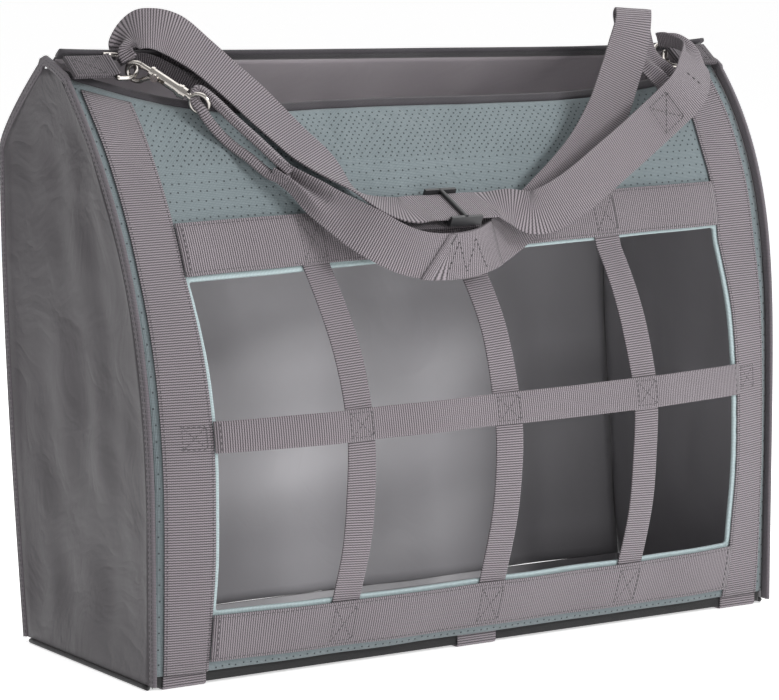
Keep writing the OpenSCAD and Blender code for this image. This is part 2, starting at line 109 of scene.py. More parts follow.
def soft_front(x, z):
    """Depth that the cloth of the front strays from its plain shape."""
    calm = 1 - np.clip(np.abs(share(x)), 0, 1) ** 6
    return calm * (1.6 * MM * front_swell(x, z) + 2.2 * MM * ramp(z, 0.36, 0.43) * front_crease(x, z))


def front_y(x, z):
    lean = 117 * MM - 28 * MM * share(x)
    rise = np.clip((z - LEAN_Z0) / (SHAPE_Z - LEAN_Z0), 0, None)
    swell = np.clip(1 - ((z - SWELL_Z / 2) / (SWELL_Z / 2)) ** 2, 0, None)
    return (-BAG_D / 2 + lean * rise ** (3.6 + 0.9 * share(x))
            - 38 * MM * (1 - share(x) ** 4) * swell)


def ridge_y(x):
    return (12 - 27 * share(x)) * MM


def back_y(x, z):
    out = BAG_D / 2 + 31 * MM * np.sin(math.pi / 2 * np.clip(z / (ROOF_Z0 - 10 * MM), None, 1))
    roof = np.clip((z - ROOF_Z0) / (BAG_H - ROOF_Z0), 0, None)
    return out - (out - ridge_y(x)) * roof ** 1.25


def front_top(x):
    return (BAG_H - 14 * MM - HEM - 30 * MM * (1 - share(x) ** 4)
            - 5 * MM * np.exp(-((share(x) + 0.6) / 0.25) ** 2))


def back_top(x):
    return BAG_H - HEM - 5 * MM * (1 - share(x) ** 6) * (1 + 0.5 * share(x))


def under(h, top):
    """Rows above TOP_Z0 squeeze in under the top edge."""
    return np.where(h <= TOP_Z0, h, TOP_Z0 + (h - TOP_Z0) * (top - TOP_Z0) / (BAG_H - TOP_Z0))


def lifted(surface, a, b, lift, step=1 * MM):
    """Points of surface(a, b) moved by lift along its normal."""
    here = surface(a, b)
    across = surface(a + step, b) - surface(a - step, b)
    along = surface(a, b + step) - surface(a, b - step)
    normal = np.cross(across, along)
    normal /= np.linalg.norm(normal, axis=-1, keepdims=True)
    return here + normal * np.asarray(lift)[..., None]


def on_front(x, z, lift=0.0):
    x, z, lift = np.broadcast_arrays(np.asarray(x, float), np.asarray(z, float), np.asarray(lift, float))
    return lifted(lambda a, b: np.stack([a, front_y(a, b) + soft_front(a, b), b], -1), x, z, lift)


back_swell = waves(21, 0.15)
roof_swell = waves(25, 0.06)


def on_back(x, z, lift=0.0):
    """lift is positive towards the outside."""
    x, z, lift = np.broadcast_arrays(np.asarray(x, float), np.asarray(z, float), np.asarray(lift, float))
    calm = 1 - np.clip(np.abs(share(x)), 0, 1) ** 6

    def surface(a, b):
        soft = calm * (3 * MM * back_swell(a, b) + 1.2 * MM * ramp(b, 0.40, 0.44) * roof_swell(a, b))
        return np.stack([a, back_y(a, b) + soft, b], -1)
    return lifted(surface, x, z, -lift)


# %% [markdown]
# ## Makers of meshes
# Two makers cover nearly all the soft parts. A sheet is a grid of points with
# two faces and a rim, and cells can be left out for an opening. A sweep carries
# a rounded outline along a route, which suits webbing, tape and piping. Both
# write a UV map in metres, so a weave keeps its real thread size. A mesh that
# comes out inside out is turned, so no maker has to mind the order of its faces.

# %% Makers of sheets and sweeps
def signed_volume(mesh):
    mesh.calc_loop_triangles()
    places = np.empty(len(mesh.vertices) * 3)
    mesh.vertices.foreach_get("co", places)
    corners = np.empty(len(mesh.loop_triangles) * 3, dtype=int)
    mesh.loop_triangles.foreach_get("vertices", corners)
    a, b, c = places.reshape(-1, 3)[corners.reshape(-1, 3)].transpose(1, 0, 2)
    return float((a * np.cross(b, c)).sum() / 6)


def new_object(name, points, faces, uvs, materials, slots=None):
    mesh = bpy.data.meshes.new(name)
    mesh.from_pydata([tuple(p) for p in points], [], faces)
    layer = mesh.uv_layers.new(name="UVMap")
    flat = [c for face in uvs for uv in face for c in uv]
    layer.data.foreach_set("uv", flat)
    if slots is not None:
        mesh.polygons.foreach_set("material_index", slots)
    mesh.polygons.foreach_set("use_smooth", [True] * len(mesh.polygons))
    for material in materials:
        mesh.materials.append(material)
    mesh.update()
    if signed_volume(mesh) < 0:
        mesh.flip_normals()
    piece = bpy.data.objects.new(name, mesh)
    bpy.context.scene.collection.objects.link(piece)
    return piece


def make_sheet(name, us, vs, place, lo, hi, materials, keep=None):
    """A closed sheet of place(u, v, lift) between two lifts; keep masks its cells."""
    us, vs = np.asarray(us, float), np.asarray(vs, float)
    grid_u, grid_v = np.meshgrid(us, vs, indexing="ij")
    nu, nv = len(us), len(vs)
    points = np.concatenate([place(grid_u, grid_v, np.full_like(grid_u, lift)).reshape(-1, 3)
                             for lift in (hi, lo)])
    there = np.ones((nu - 1, nv - 1), bool) if keep is None else keep(
        (us[:-1] + us[1:])[:, None] / 2, (vs[:-1] + vs[1:])[None, :] / 2)
    faces, uvs, slots = [], [], []

    def add(corners, slot):
        faces.append([c[0] * nv + c[1] + (nu * nv if c[2] else 0) for c in corners])
        uvs.append([(us[c[0]], vs[c[1]]) for c in corners])
        slots.append(slot)

    inner = min(1, len(materials) - 1)
    for i in range(nu - 1):
        for j in range(nv - 1):
            if not there[i, j]:
                continue
            a, b, c, d = (i, j), (i + 1, j), (i + 1, j + 1), (i, j + 1)
            add([(*p, 0) for p in (a, b, c, d)], 0)
            add([(*p, 1) for p in (d, c, b, a)], inner)
            for p, q, gone in ((a, b, j == 0 or not there[i, j - 1]),
                               (b, c, i == nu - 2 or not there[i + 1, j]),
                               (c, d, j == nv - 2 or not there[i, j + 1]),
                               (d, a, i == 0 or not there[i - 1, j])):
                if gone:
                    add([(*q, 0), (*p, 0), (*p, 1), (*q, 1)], 0)
    used = sorted({k for face in faces for k in face})
    order = {k: n for n, k in enumerate(used)}
    return new_object(name, points[used], [[order[k] for k in face] for face in faces],
                      uvs, materials, slots)


def strap_outline(width, thick, cells=8, edge=0.5 * MM, bottom=0.0):
    """Rounded flat outline as (across, lift) pairs, anticlockwise."""
    half, flat = width / 2, width / 2 - edge
    top = [(flat - 2 * flat * i / cells, thick) for i in range(cells + 1)]
    low = [(-u, 0) for u, _ in top]
    left = [(-half + 0.15 * edge, thick - 0.3 * edge), (-half, thick / 2), (-half + 0.15 * edge, 0.3 * edge)]
    right = [(half - 0.15 * edge, 0.3 * edge), (half, thick / 2), (half - 0.15 * edge, thick - 0.3 * edge)]
    return [(u, l + bottom) for u, l in top + left + low + right]


def round_outline(radius, cells=10):
    return [(radius * math.cos(2 * math.pi * i / cells), radius * math.sin(2 * math.pi * i / cells))
            for i in range(cells)]


def make_sweep(name, rings, outline, lengths, materials, closed=False):
    """rings is an array (stations, outline points, 3)."""
    rings = np.asarray(rings, float)
    count, size = rings.shape[:2]
    faces, uvs = [], []
    girth = np.concatenate([[0], np.cumsum([math.dist(outline[k], outline[(k + 1) % size])
                                            for k in range(size)])])
    for i in range(count if closed else count - 1):
        j = (i + 1) % count
        v0, v1 = lengths[i], lengths[i + 1]
        for k in range(size):
            m = (k + 1) % size
            face = [i * size + k, i * size + m, j * size + m, j * size + k]
            uv = [(girth[k], v0), (girth[k + 1], v0), (girth[k + 1], v1), (girth[k], v1)]
            faces.append(face)
            uvs.append(uv)
    if not closed:
        for i, back in ((0, True), (count - 1, False)):
            face = [i * size + k for k in range(size)]
            uv = [(outline[k][0], lengths[i] + outline[k][1]) for k in range(size)]
            if back:
                face, uv = face[::-1], uv[::-1]
            faces.append(face)
            uvs.append(uv)
    return new_object(name, rings.reshape(-1, 3), faces, uvs, materials)


def travelled(points, closed=False):
    points = np.asarray(points, float)
    if closed:
        points = np.concatenate([points, points[:1]])
    return np.concatenate([[0], np.cumsum(np.linalg.norm(np.diff(points, axis=0), axis=1))])


# %% [markdown]
# ## Shader groups
# Four effects come back in several finishes, so each is one node group: the
# plain weave of cloth, the cross ribs of webbing, the mottling of a used
# surface, and the fine creases of a thin coated cloth. A group only gives masks
# and heights; the shader stays in the material.

# %% Shader groups
def group(name, inputs, outputs):
    tree = bpy.data.node_groups.new(name, "ShaderNodeTree")
    for label, value in inputs.items():
        socket = tree.interface.new_socket(label, in_out="INPUT", socket_type="NodeSocketFloat")
        socket.default_value = value
    for label in outputs:
        tree.interface.new_socket(label, in_out="OUTPUT", socket_type="NodeSocketFloat")
    return tree, tree.nodes.new("NodeGroupInput"), tree.nodes.new("NodeGroupOutput")


class Wires:
    """Short hand for maths nodes in one tree."""

    def __init__(self, tree):
        self.tree = tree

    def node(self, kind, **values):
        made = self.tree.nodes.new(kind)
        for key, value in values.items():
            setattr(made, key, value)
        return made

    def put(self, value, socket):
        if isinstance(value, bpy.types.NodeSocket):
            self.tree.links.new(value, socket)
        else:
            socket.default_value = value

    def maths(self, operation, a, b=0.0, c=0.0):
        made = self.node("ShaderNodeMath", operation=operation)
        for value, socket in zip((a, b, c), made.inputs):
            self.put(value, socket)
        return made.outputs[0]

    def split_uv(self):
        uv = self.node("ShaderNodeUVMap", uv_map="UVMap")
        parts = self.node("ShaderNodeSeparateXYZ")
        self.tree.links.new(uv.outputs[0], parts.inputs[0])
        return parts.outputs[0], parts.outputs[1]

    def noise(self, scale, detail=2.0, rough=0.5, vector=None):
        made = self.node("ShaderNodeTexNoise")
        self.put(scale, made.inputs["Scale"])
        made.inputs["Detail"].default_value = detail
        made.inputs["Roughness"].default_value = rough
        if vector is None:
            vector = self.node("ShaderNodeTexCoord").outputs["Object"]
        self.tree.links.new(vector, made.inputs["Vector"])
        return made.outputs[0]


def build_weave():
    """Over and under of a plain weave, from the UV map in metres."""
    tree, into, out = group("PlainWeave", {"Threads per metre": 1200.0}, ["Height", "Groove shade mask"])
    w = Wires(tree)
    u, v = w.split_uv()
    across = w.maths("SINE", w.maths("MULTIPLY", w.maths("MULTIPLY", u, into.outputs[0]), math.pi))
    along = w.maths("SINE", w.maths("MULTIPLY", w.maths("MULTIPLY", v, into.outputs[0]), math.pi))
    product = w.maths("MULTIPLY", across, along)
    raised = w.maths("ABSOLUTE", product)
    # The same raised yarn is the height and the mask for the painted shade where the weave sits low.
    for label in ("Height", "Groove shade mask"):
        tree.links.new(raised, out.inputs[label])
    return tree


def build_ribs():
    """Cross ribs of webbing with the small zigzag of its warp."""
    tree, into, out = group("CrossRibs", {"Rib spacing": 0.0016, "Warp spacing": 0.0011}, ["Height", "Groove shade mask"])
    w = Wires(tree)
    u, v = w.split_uv()
    zigzag = w.maths("PINGPONG", w.maths("DIVIDE", u, into.outputs[1]), 1.0)
    phase = w.maths("ADD", w.maths("DIVIDE", v, into.outputs[0]), w.maths("MULTIPLY", zigzag, 0.12))
    rib = w.maths("ABSOLUTE", w.maths("SINE", w.maths("MULTIPLY", phase, math.pi)))
    turn = w.maths("MULTIPLY", w.maths("DIVIDE", u, into.outputs[1]), math.pi)
    cord = w.maths("ABSOLUTE", w.maths("SINE", turn))
    height = w.maths("ADD", w.maths("MULTIPLY", rib, 0.75), w.maths("MULTIPLY", cord, 0.25))
    tree.links.new(height, out.inputs["Height"])
    # The bead is low in the grooves between ribs and cords; the finish paints those grooves darker, a painted shade.
    bead = w.maths("MULTIPLY", w.maths("POWER", rib, 1.6), w.maths("MULTIPLY_ADD", cord, 0.35, 0.65))
    tree.links.new(w.maths("MINIMUM", w.maths("MULTIPLY", bead, 1.3), 1.0), out.inputs["Groove shade mask"])
    return tree


def build_mottle():
    """Uneven dye and handling: a fine grain over broad soft patches."""
    tree, into, out = group("Mottle", {"Patch scale": 9.0, "Grain scale": 700.0}, ["Patch", "Grain"])
    w = Wires(tree)
    tree.links.new(w.noise(into.outputs[0], 3.0, 0.55), out.inputs["Patch"])
    tree.links.new(w.noise(into.outputs[1], 1.0, 0.4), out.inputs["Grain"])
    return tree


def build_creases():
    """Fine creases of a thin coated cloth, as a height."""
    tree, into, out = group("Creases", {"Scale": 30.0}, ["Height"])
    w = Wires(tree)
    where = w.node("ShaderNodeTexCoord").outputs["Object"]
    bend = w.node("ShaderNodeTexNoise")
    bend.inputs["Scale"].default_value = 6.0
    tree.links.new(where, bend.inputs["Vector"])
    mix = w.node("ShaderNodeMixRGB", blend_type="LINEAR_LIGHT")
    mix.inputs[0].default_value = 0.12
    tree.links.new(where, mix.inputs[1])
    tree.links.new(bend.outputs[1], mix.inputs[2])
    ridges = w.noise(into.outputs[0], 3.0, 0.45, mix.outputs[0])
    tree.links.new(w.maths("ABSOLUTE", w.maths("SUBTRACT", ridges, 0.5)), out.inputs["Height"])
    return tree


WEAVE, RIBS, MOTTLE, CREASES = build_weave(), build_ribs(), build_mottle(), build_creases()


# %% [markdown]
# ## Finishes
# One recipe makes every cloth finish: a base colour that is painted darker where
# the weave or ribs sit low, a painted shade in their grooves, a weave or rib
# height that feeds the bump, and a little patchiness. The sheen and roughness
# differ from cloth to cloth and are set on the shader.

# %% Cloth finishes
def mix_colours(w, factor, first, second):
    made = w.node("ShaderNodeMix", data_type="RGBA")
    w.put(factor, made.inputs[0])
    for value, socket in ((first, made.inputs[6]), (second, made.inputs[7])):
        w.put(value if isinstance(value, bpy.types.NodeSocket) else (*value, 1), socket)
    return made.outputs[2]


def placed_group(w, tree, **values):
    made = w.node("ShaderNodeGroup", node_tree=tree)
    for key, value in values.items():
        made.inputs[key.replace("_", " ")].default_value = value
    return made.outputs


def cloth_finish(name, colour, pattern="weave", threads=1500.0, rib=0.0016, rough=0.8, sheen=0.2, depth=0.35,
                 groove_shade=0.3, patch=0.16, crease=0.0, coat=0.0, specular=0.4, scale=9.0):
    material = bpy.data.materials.new(name)
    material.use_nodes = True
    w = Wires(material.node_tree)
    shader = material.node_tree.nodes["Principled BSDF"]
    mottle = placed_group(w, MOTTLE, Patch_scale=scale)
    if pattern == "weave":
        yarn = placed_group(w, WEAVE, Threads_per_metre=threads)
    else:
        yarn = placed_group(w, RIBS, Rib_spacing=rib, Warp_spacing=rib * 0.7)
    height, groove_shade_mask = yarn[0], yarn[1]
    # Where the weave or ribs sit low the colour is painted darker: a painted shade in the grooves.
    dark = tuple(c * (1 - groove_shade) for c in colour)
    worn = tuple(min(1, c * (1 + patch)) for c in colour)
    dull = tuple(c * (1 - patch) for c in colour)
    base = mix_colours(w, mottle[0], dull, worn)
    base = mix_colours(w, groove_shade_mask, dark, base)
    w.put(base, shader.inputs["Base Color"])
    grain = w.maths("MULTIPLY_ADD", mottle[1], 0.12, rough - 0.06)
    w.put(grain, shader.inputs["Roughness"])
    bump = w.node("ShaderNodeBump")
    bump.inputs["Strength"].default_value = depth
    bump.inputs["Distance"].default_value = 0.0008
    w.put(height, bump.inputs["Height"])
    if crease:
        folds = w.node("ShaderNodeBump")
        folds.inputs["Strength"].default_value = crease
        folds.inputs["Distance"].default_value = 0.004
        w.put(placed_group(w, CREASES, Scale=26.0)[0], folds.inputs["Height"])
        w.put(folds.outputs[0], bump.inputs["Normal"])
    w.put(bump.outputs[0], shader.inputs["Normal"])
    shader.inputs["Sheen Weight"].default_value = sheen
    shader.inputs["Sheen Roughness"].default_value = 0.4
    shader.inputs["Coat Weight"].default_value = coat
    shader.inputs["Coat Roughness"].default_value = 0.35
    shader.inputs["Specular IOR Level"].default_value = specular
    return material


webbing = cloth_finish("webbing", (0.235, 0.207, 0.226), "ribs", rib=0.0020, depth=1.0, groove_shade=0.86,
                       sheen=0.12, patch=0.12)
# The same webbing at half its brightness, a painted shade for layers that lie under or behind other straps: the
# carry's tail and returned end and the ring tabs.
webbing_painted_shade = cloth_finish("webbing_painted_shade", (0.120, 0.105, 0.117), "ribs", rib=0.0020, depth=1.0,
                            groove_shade=0.86, sheen=0.08, patch=0.12)
teal = cloth_finish("panel_teal", (0.195, 0.236, 0.250), "weave", threads=820.0, depth=0.5, groove_shade=0.42,
                    crease=1.3, sheen=0.15, patch=0.22, scale=14.0)
satin = cloth_finish("satin_grey", (0.038, 0.031, 0.038), "weave", threads=1300.0, rough=0.40, depth=0.25,
                     groove_shade=0.35, crease=0.8, sheen=0.06, specular=0.5, patch=0.25, scale=12.0)
lining = cloth_finish("lining_grey", (0.38, 0.37, 0.39), "weave", threads=1300.0, rough=0.38, depth=0.08,
                      groove_shade=0.12, patch=0.10, crease=0.15, specular=0.6)
# The window tape is pale, and its colour is painted lighter still as a painted highlight along the opening's edge.
pale_tape_painted_highlight = cloth_finish("binding_pale", (0.40, 0.49, 0.505), "ribs", rib=0.0012, depth=0.5, groove_shade=0.45)
grey_tape = cloth_finish("binding_grey", (0.125, 0.110, 0.124), "ribs", rib=0.0012, depth=0.6, groove_shade=0.5)
hem_tape = cloth_finish("hem_grey", (0.040, 0.036, 0.042), "ribs", rib=0.0012, depth=0.4, groove_shade=0.4)
black_cloth = cloth_finish("base_black", (0.012, 0.012, 0.013), "weave", threads=1000.0, depth=0.5, groove_shade=0.4,
                           rough=0.7)
black_piping = cloth_finish("piping_black", (0.014, 0.013, 0.015), "ribs", rib=0.0012, depth=0.4, rough=0.6)


def fade_lining(material, roof_satin_painted_sheen=(0.30, 0.27, 0.29)):
    """The lining turns to the roof's satin above the feeding window, painted much lighter than the satin outside as a
    painted sheen; below that it is painted darker towards both ends, a painted shade round a lit middle.
    """
    w = Wires(material.node_tree)
    shader = material.node_tree.nodes["Principled BSDF"]
    base = shader.inputs["Base Color"].links[0].from_socket
    parts = w.node("ShaderNodeSeparateXYZ")
    w.put(w.node("ShaderNodeTexCoord").outputs["Object"], parts.inputs[0])
    roof = w.node("ShaderNodeMapRange", interpolation_type="SMOOTHSTEP")
    w.put(parts.outputs[2], roof.inputs["Value"])
    roof.inputs["From Min"].default_value, roof.inputs["From Max"].default_value = 0.34, 0.42
    # painted shade: away from the middle the lining is mixed up to six tenths of the way to a dark grey
    left = w.maths("ABSOLUTE", w.maths("MULTIPLY_ADD", parts.outputs[0], 3.4, 0.05))
    patch = w.maths("MULTIPLY", w.maths("SMOOTH_MIN", left, 1.0, 0.3), 0.6)
    lining_painted_shade = mix_colours(w, patch, base, (0.12, 0.116, 0.124))
    w.put(mix_colours(w, roof.outputs[0], lining_painted_shade, roof_satin_painted_sheen), shader.inputs["Base Color"])


fade_lining(lining)


def thread_finish(name, colour):
    material = bpy.data.materials.new(name)
    material.use_nodes = True
    w = Wires(material.node_tree)
    shader = material.node_tree.nodes["Principled BSDF"]
    twist = w.noise(900.0, 1.0)
    w.put(mix_colours(w, twist, tuple(c * 0.7 for c in colour), colour), shader.inputs["Base Color"])
    shader.inputs["Roughness"].default_value = 0.6
    shader.inputs["Sheen Weight"].default_value = 0.2
    return material


grey_thread = thread_finish("thread_grey", (0.055, 0.048, 0.054))
dark_thread = thread_finish("thread_dark", (0.018, 0.016, 0.019))
# the perforations' dark is a painted shade inside the holes
hole_shade = thread_finish("perforation", (0.016, 0.024, 0.029))


# %% Metal and plastic finishes
def hard_finish(name, colour, metallic, rough, scratch=0.25, grain=260.0, dark=0.7):
    material = bpy.data.materials.new(name)
    material.use_nodes = True
    w = Wires(material.node_tree)
    shader = material.node_tree.nodes["Principled BSDF"]
    mottle = placed_group(w, MOTTLE, Patch_scale=60.0, Grain_scale=grain)
    w.put(mix_colours(w, mottle[0], tuple(c * dark for c in colour), colour), shader.inputs["Base Color"])
    w.put(w.maths("MULTIPLY_ADD", mottle[1], scratch, rough - scratch / 2), shader.inputs["Roughness"])
    bump = w.node("ShaderNodeBump")
    bump.inputs["Strength"].default_value = 0.08
    bump.inputs["Distance"].default_value = 0.0002
    w.put(mottle[1], bump.inputs["Height"])
    w.put(bump.outputs[0], shader.inputs["Normal"])
    shader.inputs["Metallic"].default_value = metallic
    return material


nickel = hard_finish("nickel", (0.50, 0.47, 0.44), 1.0, 0.2, dark=0.8)
spring_wire = hard_finish("spring_steel", (0.55, 0.56, 0.58), 1.0, 0.3)
black_plastic = hard_finish("slider_black", (0.018, 0.018, 0.020), 0.0, 0.42, grain=900.0)

# %% [markdown]
# ## Camera, light and floor
# The bag is seen from its front left, a little from above. The light is one
# large soft source on the front's upper right and a weaker fill, over a pale
# floor and a white surround, so the left end falls into soft shade.

# %% Camera, floor and lights
camera_data = bpy.data.cameras.new("camera")
camera_data.lens = 146.2
camera = bpy.data.objects.new("camera", camera_data)
camera.location = (-1.448, -2.208, 0.577)
camera.rotation_euler = (math.pi / 2 - 0.1295, 0, -0.575)
bpy.context.scene.collection.objects.link(camera)
bpy.context.scene.camera = camera


def floor_finish():
    material = bpy.data.materials.new("floor_pale")
    material.use_nodes = True
    shader = material.node_tree.nodes["Principled BSDF"]
    shader.inputs["Base Color"].default_value = (0.98, 0.98, 0.98, 1)
    shader.inputs["Roughness"].default_value = 0.9
    # a little light of its own, as a lit table top has
    shader.inputs["Emission Color"].default_value = (1, 1, 1, 1)
    shader.inputs["Emission Strength"].default_value = 0.52
    return material


def make_floor(size=80.0):
    points = [(-size, -size, -0.0002), (size, -size, -0.0002), (size, size, -0.0002), (-size, size, -0.0002)]
    floor = new_object("floor", points, [[0, 1, 2, 3]], [[(0, 0), (1, 0), (1, 1), (0, 1)]], [floor_finish()])


make_floor()


def soft_light(name, place, target, size, power):
    data = bpy.data.lights.new(name, "AREA")
    data.shape = "RECTANGLE"
    data.size, data.size_y = size
    data.energy = power
    light = bpy.data.objects.new(name, data)
    light.location = place
    aim = np.subtract(target, place)
    flat = math.hypot(aim[0], aim[1])
    light.rotation_euler = (math.pi / 2 + math.atan2(aim[2], flat), 0, math.atan2(-aim[0], aim[1]))
    bpy.context.scene.collection.objects.link(light)


soft_light("key", (1.2, -2.6, 1.7), (0, 0, 0.22), (1.0, 1.0), 64)
soft_light("inside", (-0.3, -2.6, 0.5), (0.05, 0.1, 0.16), (0.5, 0.5), 14)
soft_light("top", (0.2, 0.6, 2.6), (0, 0, 0.2), (3.0, 3.0), 55)


def make_surround():
    """White where the camera looks past the bag, and a softer grey for light and gloss."""
    world = bpy.data.worlds.new("surround")
    world.use_nodes = True
    w = Wires(world.node_tree)
    ground = world.node_tree.nodes["Background"]
    seen = w.node("ShaderNodeLightPath").outputs["Is Camera Ray"]
    w.put((1, 1, 1, 1), ground.inputs[0])
    w.put(w.maths("MULTIPLY_ADD", seen, 0.57, 0.48), ground.inputs[1])
    bpy.context.scene.world = world


make_surround()
bpy.context.scene.view_settings.view_transform = "Standard"


# %% [markdown]
# ## The panels
# The front, the back and the two gussets are each one cloth with a satin or
# teal outside and a lighter lining inside. The front is left open at the
# feeding window. Rows and columns are close together, so the soft swells of the
# surface show as real shape.

# %% Front and back panels
def ride(piece, slot, *nodes, body="bag"):
    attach(piece, body)
    if nodes:
        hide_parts(*nodes)
    return piece


def marks(start, end, step):
    return np.linspace(start, end, max(2, int(math.ceil(abs(end - start) / step)) + 1))


def joined(*lists):
    out = sorted(set(round(float(v), 6) for part in lists for v in part))
    return np.array([v for k, v in enumerate(out) if k == 0 or v - out[k - 1] > 2e-4])


def front_place(h_top=True):
    def place(x, z, lift):
        height = hitched(x, z)
        return on_front(x, under(height, front_top(x)) if h_top else height, lift)
    return place


HOLE_X = WINDOW_W / 2 + TAPE - 1 * MM
HOLE_Z0, HOLE_Z1 = WINDOW_Z0 - TAPE + 1 * MM, WINDOW_Z1 + TAPE - 1 * MM
FOOT = LIP - 0.2 * MM              # the panels start just behind the tray's rim
front_us = joined(marks(-PANEL_X, -HOLE_X, 6 * MM), marks(-HOLE_X, HOLE_X, 6 * MM),
                  marks(HOLE_X, PANEL_X, 6 * MM))
front_vs = joined(marks(FOOT, HOLE_Z0, 5 * MM), marks(HOLE_Z0, HOLE_Z1, 6 * MM),
                  marks(HOLE_Z1, BAG_H, 5 * MM))
front_cloth = make_sheet("front_cloth", front_us, front_vs, front_place(), -WALL, 0, [teal, lining],
                         keep=lambda x, z: (np.abs(x) > HOLE_X) | (z < HOLE_Z0) | (z > HOLE_Z1))
ride(front_cloth, "panel_teal", "front_panel")

back_vs = joined(marks(FOOT, ROOF_Z0 - 20 * MM, 9 * MM), marks(ROOF_Z0 - 20 * MM, BAG_H, 5 * MM))
back_cloth = make_sheet("back_cloth", marks(-PANEL_X, PANEL_X, 9 * MM), back_vs,
                        lambda x, z, lift: on_back(x, under(z, back_top(x)), lift), -WALL, 0,
                        [satin, lining])
ride(back_cloth, "satin_grey", "back_panel")
print("front and back", len(front_cloth.data.polygons), len(back_cloth.data.polygons))


# %% [markdown]
# ## The gussets
# Each end is a flat-cut cloth that is pulled in a little between its sewn
# edges. Its rows run from the front edge to the back edge at each height, and
# soft vertical folds fade out towards the seams.

# %% Gussets
GUSSET_Z0 = 4.6 * MM


def make_gusset(side, name):
    x0 = side * (BAG_W / 2 - 1.6 * MM)
    folds = waves(31 + side, 0.12)
    fine = waves(41 + side, 0.05)

    def place(u, z, lift):
        front = front_y(np.full_like(z, side * BAG_W / 2), z) + 0.5 * MM
        back = back_y(np.full_like(z, side * BAG_W / 2), z) - 0.5 * MM
        y = front + (back - front) * u
        edge = np.clip(4 * u * (1 - u), 0, 1) ** 0.5 * ramp(z, GUSSET_Z0, 0.06) * ramp(BAG_H - z, 0.01, 0.07)
        dent = edge * (5.5 * MM + 3.2 * MM * folds(y * 1.8, z * 0.7) + 0.9 * MM * fine(y, z))
        return np.stack([x0 - side * dent + side * lift, y, z], -1)
    top = BAG_H - 16 * MM
    piece = make_sheet(name, marks(0, 1, 0.03), marks(GUSSET_Z0, top, 7 * MM), place, -1.2 * MM, 1.2 * MM,
                       [satin, lining])
    # the map runs in metres across the gusset
    layer = piece.data.uv_layers["UVMap"]
    for loop in piece.data.loops:
        place_at = piece.data.vertices[loop.vertex_index].co
        layer.data[loop.index].uv = (place_at.y, place_at.z)
    return piece


for side, end in ((-1, "left"), (1, "right")):
    ride(make_gusset(side, end + "_gusset_cloth"), "satin_grey", end + "_gusset")


# %% [markdown]
# ## Webbing and tape on the panels
# A strap on the front is swept along a line of (x, height) places. Its outline
# is spread over the surface function, so its edges follow the cloth. The
# dividers wander a little sideways, as soft webbing does between its stitched
# crossings.

# %% Webbing of the feeding grid
def on_panel(name, line, width, lo, material, top=True):
    """A strap along (x, h) places on the front."""
    line = np.asarray(line, float)
    heading = np.gradient(line, axis=0)
    heading /= np.linalg.norm(heading, axis=1, keepdims=True)
    outline = strap_outline(width, WEB_T)
    across = np.array([u for u, _ in outline])
    lift = np.array([l for _, l in outline])
    x = line[:, 0, None] + heading[:, 1, None] * across
    h = line[:, 1, None] - heading[:, 0, None] * across
    rings = front_place(top)(x, h, np.broadcast_to(lo + lift[None, :], x.shape))
    return make_sweep(name, rings, outline, travelled(rings.mean(axis=1)), [material])


for side, end in ((-1, "left"), (1, "right")):
    hs = marks(LIP + 0.5 * MM, BAG_H - 10 * MM, 6 * MM)
    line = np.stack([np.full_like(hs, side * (FRAME_X + WEB / 2)), hs], 1)
    ride(on_panel(end + "_upright", line, WEB, WEB_LO, webbing), "webbing", end + "_front_webbing")


def wander(h):
    """Sideways drift of a divider between the upper and the lower band."""
    f = np.clip((h - WINDOW_Z0) / (WINDOW_Z1 - WINDOW_Z0), 0, 1)
    return 6 * MM * np.sin(math.pi * f)


for k, end in ((-1, "left"), (0, "centre"), (1, "right")):
    hs = marks(WINDOW_Z0 - 6 * MM, WINDOW_Z1 + 6 * MM, 5 * MM)
    line = np.stack([k * PITCH + wander(hs), hs], 1)
    ride(on_panel(end + "_divider_strap", line, NARROW, WEB_LO, webbing, top=False),
         "webbing", end + "_divider")

BANDS = {"upper": (UPPER_Z + WEB / 2, WEB), "middle": (MIDDLE_Z, NARROW), "lower": (LOWER_Z + WEB / 2, WEB)}
for end, (h, width) in BANDS.items():
    xs = marks(-FRAME_X + 0.2 * MM, FRAME_X - 0.2 * MM, 6 * MM)
    line = np.stack([xs, np.full_like(xs, h)], 1)
    ride(on_panel(end + "_band_strap", line, width, BAND_LO, webbing, top=False), "webbing", end + "_band")


# %% Tape round the window
def window_path(step=5 * MM, corner=6 * MM):
    """Rounded rectangle of (x, h, outward x, outward h) through the tape's middle."""
    half_w, z0, z1 = WINDOW_W / 2 + TAPE / 2, WINDOW_Z0 - TAPE / 2, WINDOW_Z1 + TAPE / 2
    half_h, mid = (z1 - z0) / 2, (z0 + z1) / 2
    out = []
    sides = [((1, 0), (0, 1), half_w, half_h), ((0, 1), (-1, 0), half_h, half_w),
             ((-1, 0), (0, -1), half_w, half_h), ((0, -1), (1, 0), half_h, half_w)]
    for outward, run, reach, length in sides:
        for t in marks(-length + corner, length - corner, step):
            out.append((outward[0] * reach + run[0] * t, mid + outward[1] * reach + run[1] * t, *outward))
        for a in np.linspace(0, math.pi / 2, 6)[1:-1]:
            n = (outward[0] * math.cos(a) + run[0] * math.sin(a), outward[1] * math.cos(a) + run[1] * math.sin(a))
            base = (outward[0] * (reach - corner) + run[0] * (length - corner),
                    outward[1] * (reach - corner) + run[1] * (length - corner))
            out.append((base[0] + n[0] * corner, mid + base[1] + n[1] * corner, *n))
    return np.array(out)


